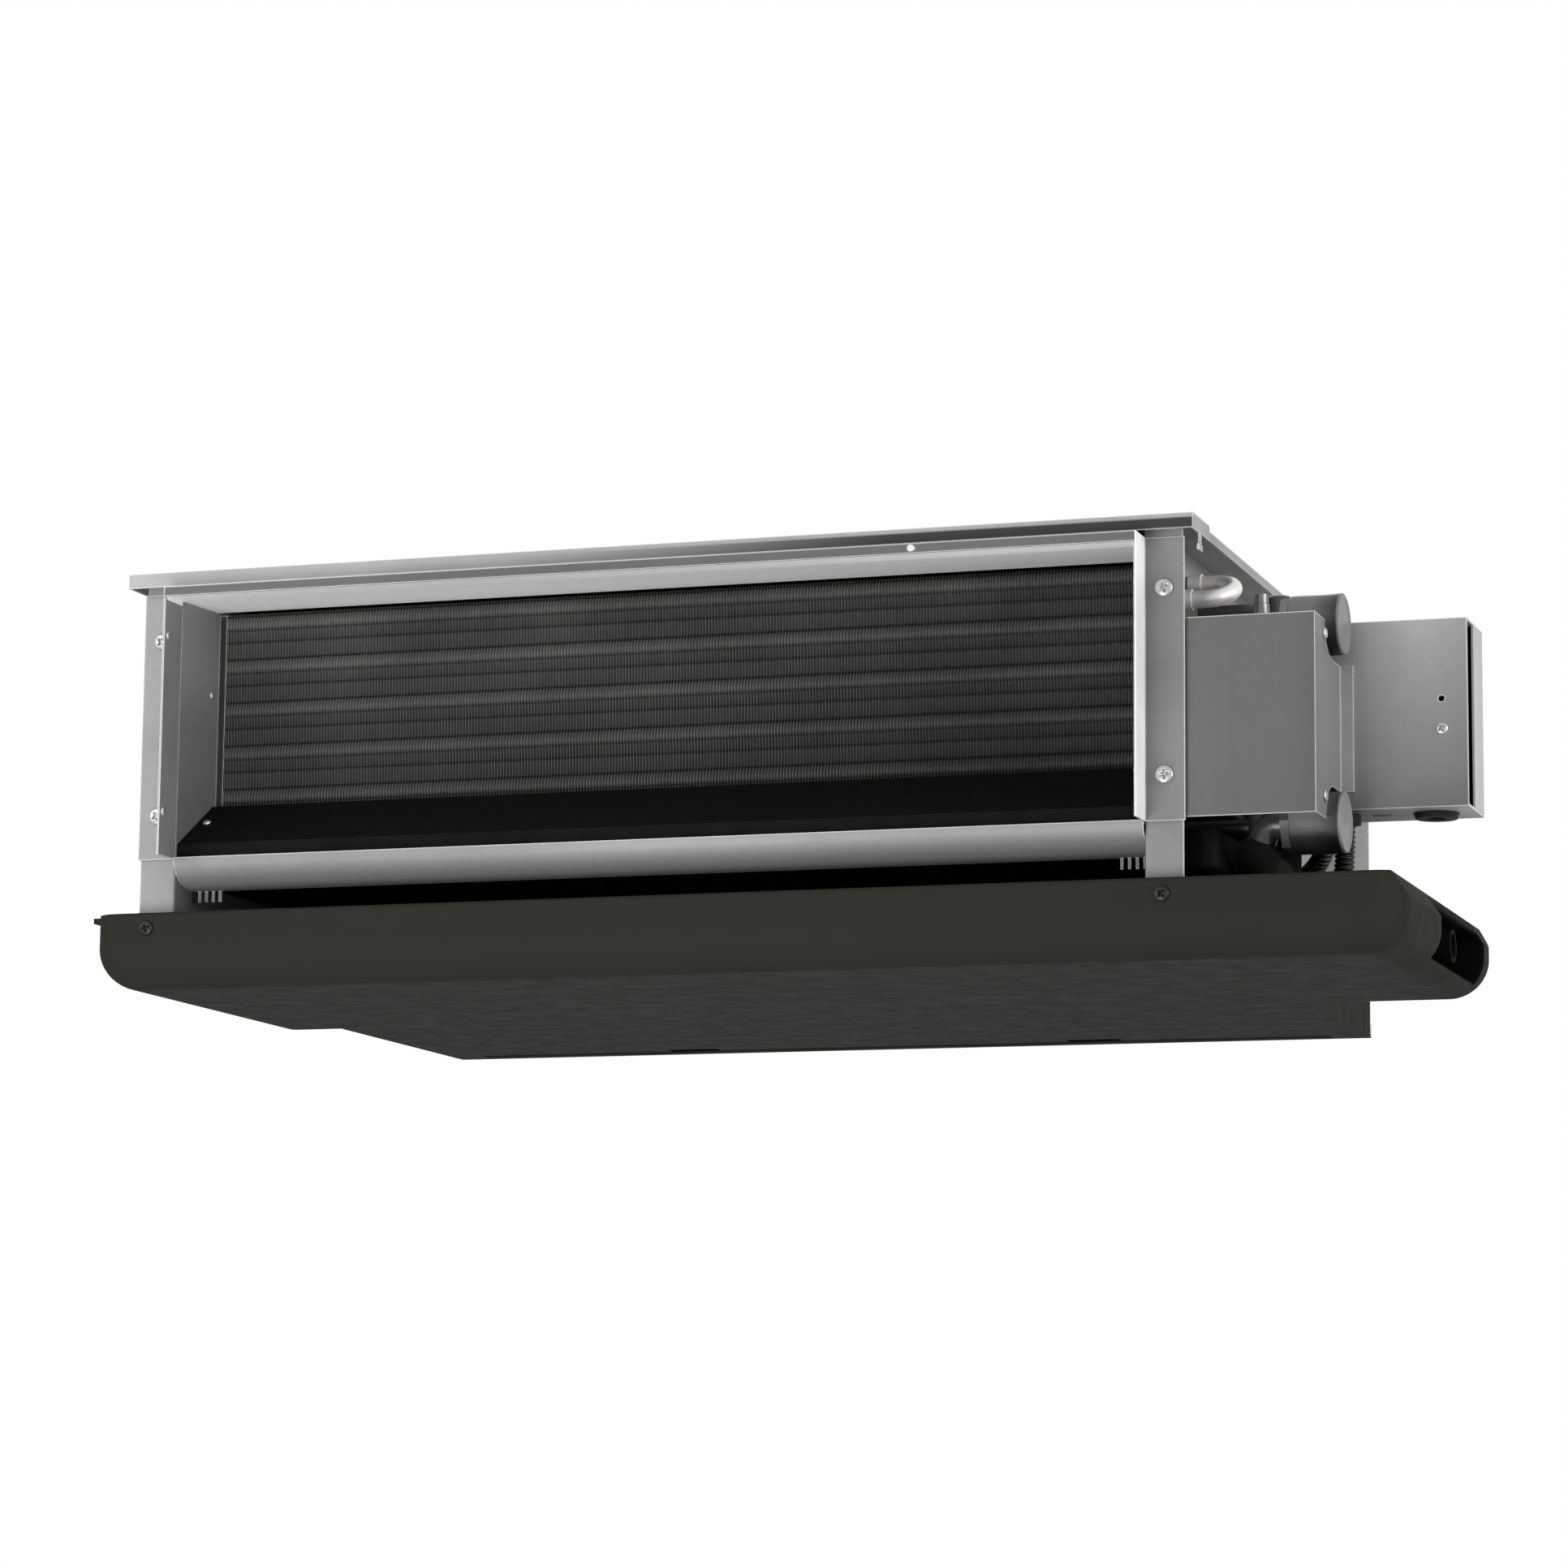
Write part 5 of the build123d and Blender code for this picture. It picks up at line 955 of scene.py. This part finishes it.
dress(zinc("cover_zinc", 0.17, "z", shade=cover_shade), "pipe_cover")
dress(zinc("box_zinc", 0.42, "z"), "electrical_box")
dress(zinc("lid_zinc", 0.28, "z", shade=lid_shade), "box_lid")
dress(zinc("bracket_zinc", 0.36, "z"), "box_bracket")

# Small black mouldings of the electrical box and the side wall, pressed into their holes.
# The terminal block and the capacitor inside the box are grey.
black_moulding = moulded("black_moulding", (0.006, 0.0065, 0.0055), 0.5, gloss=0.25)
black_grommet = moulded("black_grommet", (0.007, 0.0075, 0.0065), 0.6, gloss=0.2)
dress(black_moulding, "box_insert_panel", "conduit_glands", "web_bushings")
dress(black_grommet, "cable_grommet", "motor_rings")
dress(moulded("terminal_grey", (0.30, 0.30, 0.29), 0.5), "terminal_block", "capacitor")

# Blower wheels, shaft and motor: moulded wheels on a ground steel shaft.
# The painted motor sits between them, in rubber rings.
dress(moulded("wheel_black", (0.018, 0.018, 0.017), 0.48), "wheel_left", "wheel_right")
shaft_steel = zinc("shaft_steel", 0.5, "x", rough=0.25, spangle=0.0, metallic=0.9, edge=0.0)
dress(shaft_steel, "fan_shaft")
dress(moulded("motor_paint", (0.03, 0.03, 0.031), 0.42, grain_scale=300.0), "motor")

# Filter: black plastic frame with a fine nylon net welded into it.
# The net is stretched over the ribs, five bays by two, and bellies a little between them.
net_bays = 5
net_tiers = 2
net_belly = 0.0004
thread_dark = (0.05, 0.05, 0.048, 1.0)
thread_dusty = (0.08, 0.08, 0.076, 1.0)
hole_black = (0.008, 0.008, 0.008, 1.0)
dress(moulded("filter_black", (0.018, 0.018, 0.017), 0.5), "filter_frame")


def grid_faces(rows, columns):
    """Quads of a grid of points that are numbered row after row."""
    row, column = np.meshgrid(np.arange(rows - 1), np.arange(columns - 1), indexing="ij")
    corner = (row * columns + column).reshape(-1)
    return np.stack([corner, corner + columns, corner + columns + 1, corner + 1], axis=-1)


net, tree, place = blank_material("filter_net")
cells = wire(
    tree,
    "ShaderNodeTexVoronoi",
    {"Vector": place, "Scale": 620.0, "Randomness": 0.25},
    feature="DISTANCE_TO_EDGE",
)
thread = remap(tree, cells.outputs["Distance"], 0.08, 0.16, 1.0, 0.0)
dust = swing(tree, noise(tree, place, 22.0, 5.0), 0.0, 1.0)
thread_tone = between(tree, dust, thread_dark, thread_dusty)
relief = wire(tree, "ShaderNodeBump", {"Strength": 0.6, "Distance": 0.0003, "Height": thread})
net_look = {
    "Base Color": between(tree, thread, hole_black, thread_tone),
    "Roughness": graded(tree, thread, 0.9, 0.6),
    "Specular IOR Level": 0.25,
    "Normal": relief.outputs["Normal"],
}
end_in_shader(tree, net_look)
net_low, net_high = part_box("filter_media")
net_width, net_height = net_high.x - net_low.x, net_high.z - net_low.z
columns, rows = 221, 93
x, z = np.meshgrid(
    np.linspace(net_low.x, net_high.x, columns), np.linspace(net_low.z, net_high.z, rows)
)
# The net stands out by net_belly * |sin(bays pi x / width)| * |sin(tiers pi z / height)|.
across = np.sin(np.pi * net_bays * (x - net_low.x) / net_width)
upwards = np.sin(np.pi * net_tiers * (z - net_low.z) / net_height)
y = (net_low.y + net_high.y) / 2 + net_belly * np.abs(across) * np.abs(upwards)
verts = np.stack([x, y, z], axis=-1)
cloth = mesh_piece("filter_net", verts, grid_faces(rows, columns), net, "filter")
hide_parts("filter_media")

# Top foam: black closed-cell board glued under the lid, its cut edges a little rounded.
# The underside waves by half a millimetre, as soft board does over glue.
board_edge = 0.0022
board_columns, board_rows = 92, 68
board_low, board_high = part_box("top_foam")


def edge_spaced(low, high, inner_count):
    """Grid lines from low to high with four close together along each edge."""
    close = np.array([0.0, 0.08, 0.25, 0.55]) * board_edge
    inner = np.linspace(low + board_edge, high - board_edge, inner_count)
    return np.concatenate([low + close, inner, high - close[::-1]])


x, y = np.meshgrid(
    edge_spaced(board_low.x, board_high.x, board_columns),
    edge_spaced(board_low.y, board_high.y, board_rows),
)
# The underside lies at the board's lowest height, plus the swell of two sines, plus
# board_edge * (1 - sqrt(1 - curl^2)), where curl goes from nought to one across the rim.
rim = np.minimum.reduce([x - board_low.x, board_high.x - x, y - board_low.y, board_high.y - y])
curl = np.clip(1 - rim / board_edge, 0.0, 0.999)
swell = 0.00012 * (2 + np.sin(31 * x + 17 * y) + np.sin(57 * y - 23 * x + 1.0))
under = board_low.z + swell + board_edge * (1 - np.sqrt(1 - curl**2))
lower = np.stack([x, y, under], axis=-1).reshape(-1, 3)
upper = np.stack([x, y, 0 * x + board_high.z], axis=-1).reshape(-1, 3)
rows, columns = x.shape
below = grid_faces(rows, columns)
above = below[:, ::-1] + rows * columns
border = np.concatenate(
    [
        np.arange(columns),
        columns * np.arange(1, rows) + columns - 1,
        (rows - 1) * columns + np.arange(columns - 2, -1, -1),
        columns * np.arange(rows - 2, 0, -1),
    ]
)
onward = np.roll(border, -1)
wall = np.stack([border, onward, onward + rows * columns, border + rows * columns], axis=-1)
verts, faces = np.concatenate([lower, upper]), np.concatenate([below, above, wall])
board = mesh_piece("top_foam_board", verts, faces, foam_black, "casing")
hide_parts("top_foam")

# Studio: a pale floor well below the unit, a bright even surround and four large soft lamps.
# The floor shows from above only, and glows a little for the camera alone.
floor_radius = 2.6
floor_height = -1.5
floor_glow = 0.35
floor_pale = ((0.78, 0.78, 0.78, 1.0), (0.84, 0.84, 0.84, 1.0))
surround_light = 0.34
turns = np.linspace(0, 2 * np.pi, 64, endpoint=False)
rim = [floor_radius * np.cos(turns), floor_radius * np.sin(turns), 0 * turns + floor_height]
floor_data = bpy.data.meshes.new("studio_floor")
floor_data.from_pydata(np.stack(rim, axis=1).tolist(), [], [list(range(len(turns)))])
floor = bpy.data.objects.new("studio_floor", floor_data)
bpy.context.scene.collection.objects.link(floor)
floor_paint, tree, place = blank_material("floor_paint")
pale = between(tree, noise(tree, place, 3.0, 3.0), *floor_pale)
matt_look = {"Base Color": pale, "Roughness": 0.9, "Specular IOR Level": 0.1}
matt = wire(tree, "ShaderNodeBsdfPrincipled", matt_look).outputs["BSDF"]
seen = wire(tree, "ShaderNodeLightPath").outputs["Is Camera Ray"]
glow_strength = graded(tree, seen, 0.0, floor_glow)
glow = wire(tree, "ShaderNodeEmission", {"Color": pale, "Strength": glow_strength})
upper_face = wire(tree, "ShaderNodeAddShader", {0: matt, 1: glow.outputs["Emission"]})
clear = wire(tree, "ShaderNodeBsdfTransparent").outputs["BSDF"]
from_below = wire(tree, "ShaderNodeNewGeometry").outputs["Backfacing"]
faces_mix = {0: from_below, 1: upper_face.outputs["Shader"], 2: clear}
either_face = wire(tree, "ShaderNodeMixShader", faces_mix)
wire(tree, "ShaderNodeOutputMaterial", {"Surface": either_face.outputs["Shader"]})
floor_data.materials.append(floor_paint)

world = bpy.data.worlds.new("studio_surround")
bpy.context.scene.world = world
world.use_nodes = True
tree = world.node_tree
tree.nodes.clear()
rays = wire(tree, "ShaderNodeLightPath").outputs
seen = figure(tree, "MAXIMUM", rays["Is Camera Ray"], rays["Is Glossy Ray"])
seen = figure(tree, "MAXIMUM", seen, rays["Is Transmission Ray"])
strength = graded(tree, seen, surround_light, 1.0)
surround = wire(tree, "ShaderNodeBackground", {"Color": (1.0, 1.0, 1.0, 1.0), "Strength": strength})
wire(tree, "ShaderNodeOutputWorld", {"Surface": surround.outputs["Background"]})


def soft_lamp(name, place, target, size, power):
    """A square area lamp that faces a point."""
    data = bpy.data.lights.new(name, "AREA")
    data.size = size
    data.energy = power
    lamp = bpy.data.objects.new(name, data)
    lamp.location = place
    lamp.rotation_euler = (Vector(target) - Vector(place)).to_track_quat("-Z", "Y").to_euler()
    bpy.context.scene.collection.objects.link(lamp)


soft_lamp("key_lamp", (-1.3, -1.8, 0.55), (-0.15, -0.2, -0.1), size=1.0, power=14.0)
soft_lamp("low_lamp", (-0.2, -1.55, -0.80), (0.0, -0.2, -0.05), size=0.7, power=18.0)
soft_lamp("right_lamp", (2.0, -0.65, 0.12), (0.3, -0.1, -0.1), size=1.0, power=26.0)
soft_lamp("rear_lamp", (-0.9, 2.2, 1.0), (0.0, 0.1, -0.1), size=1.6, power=34.0)
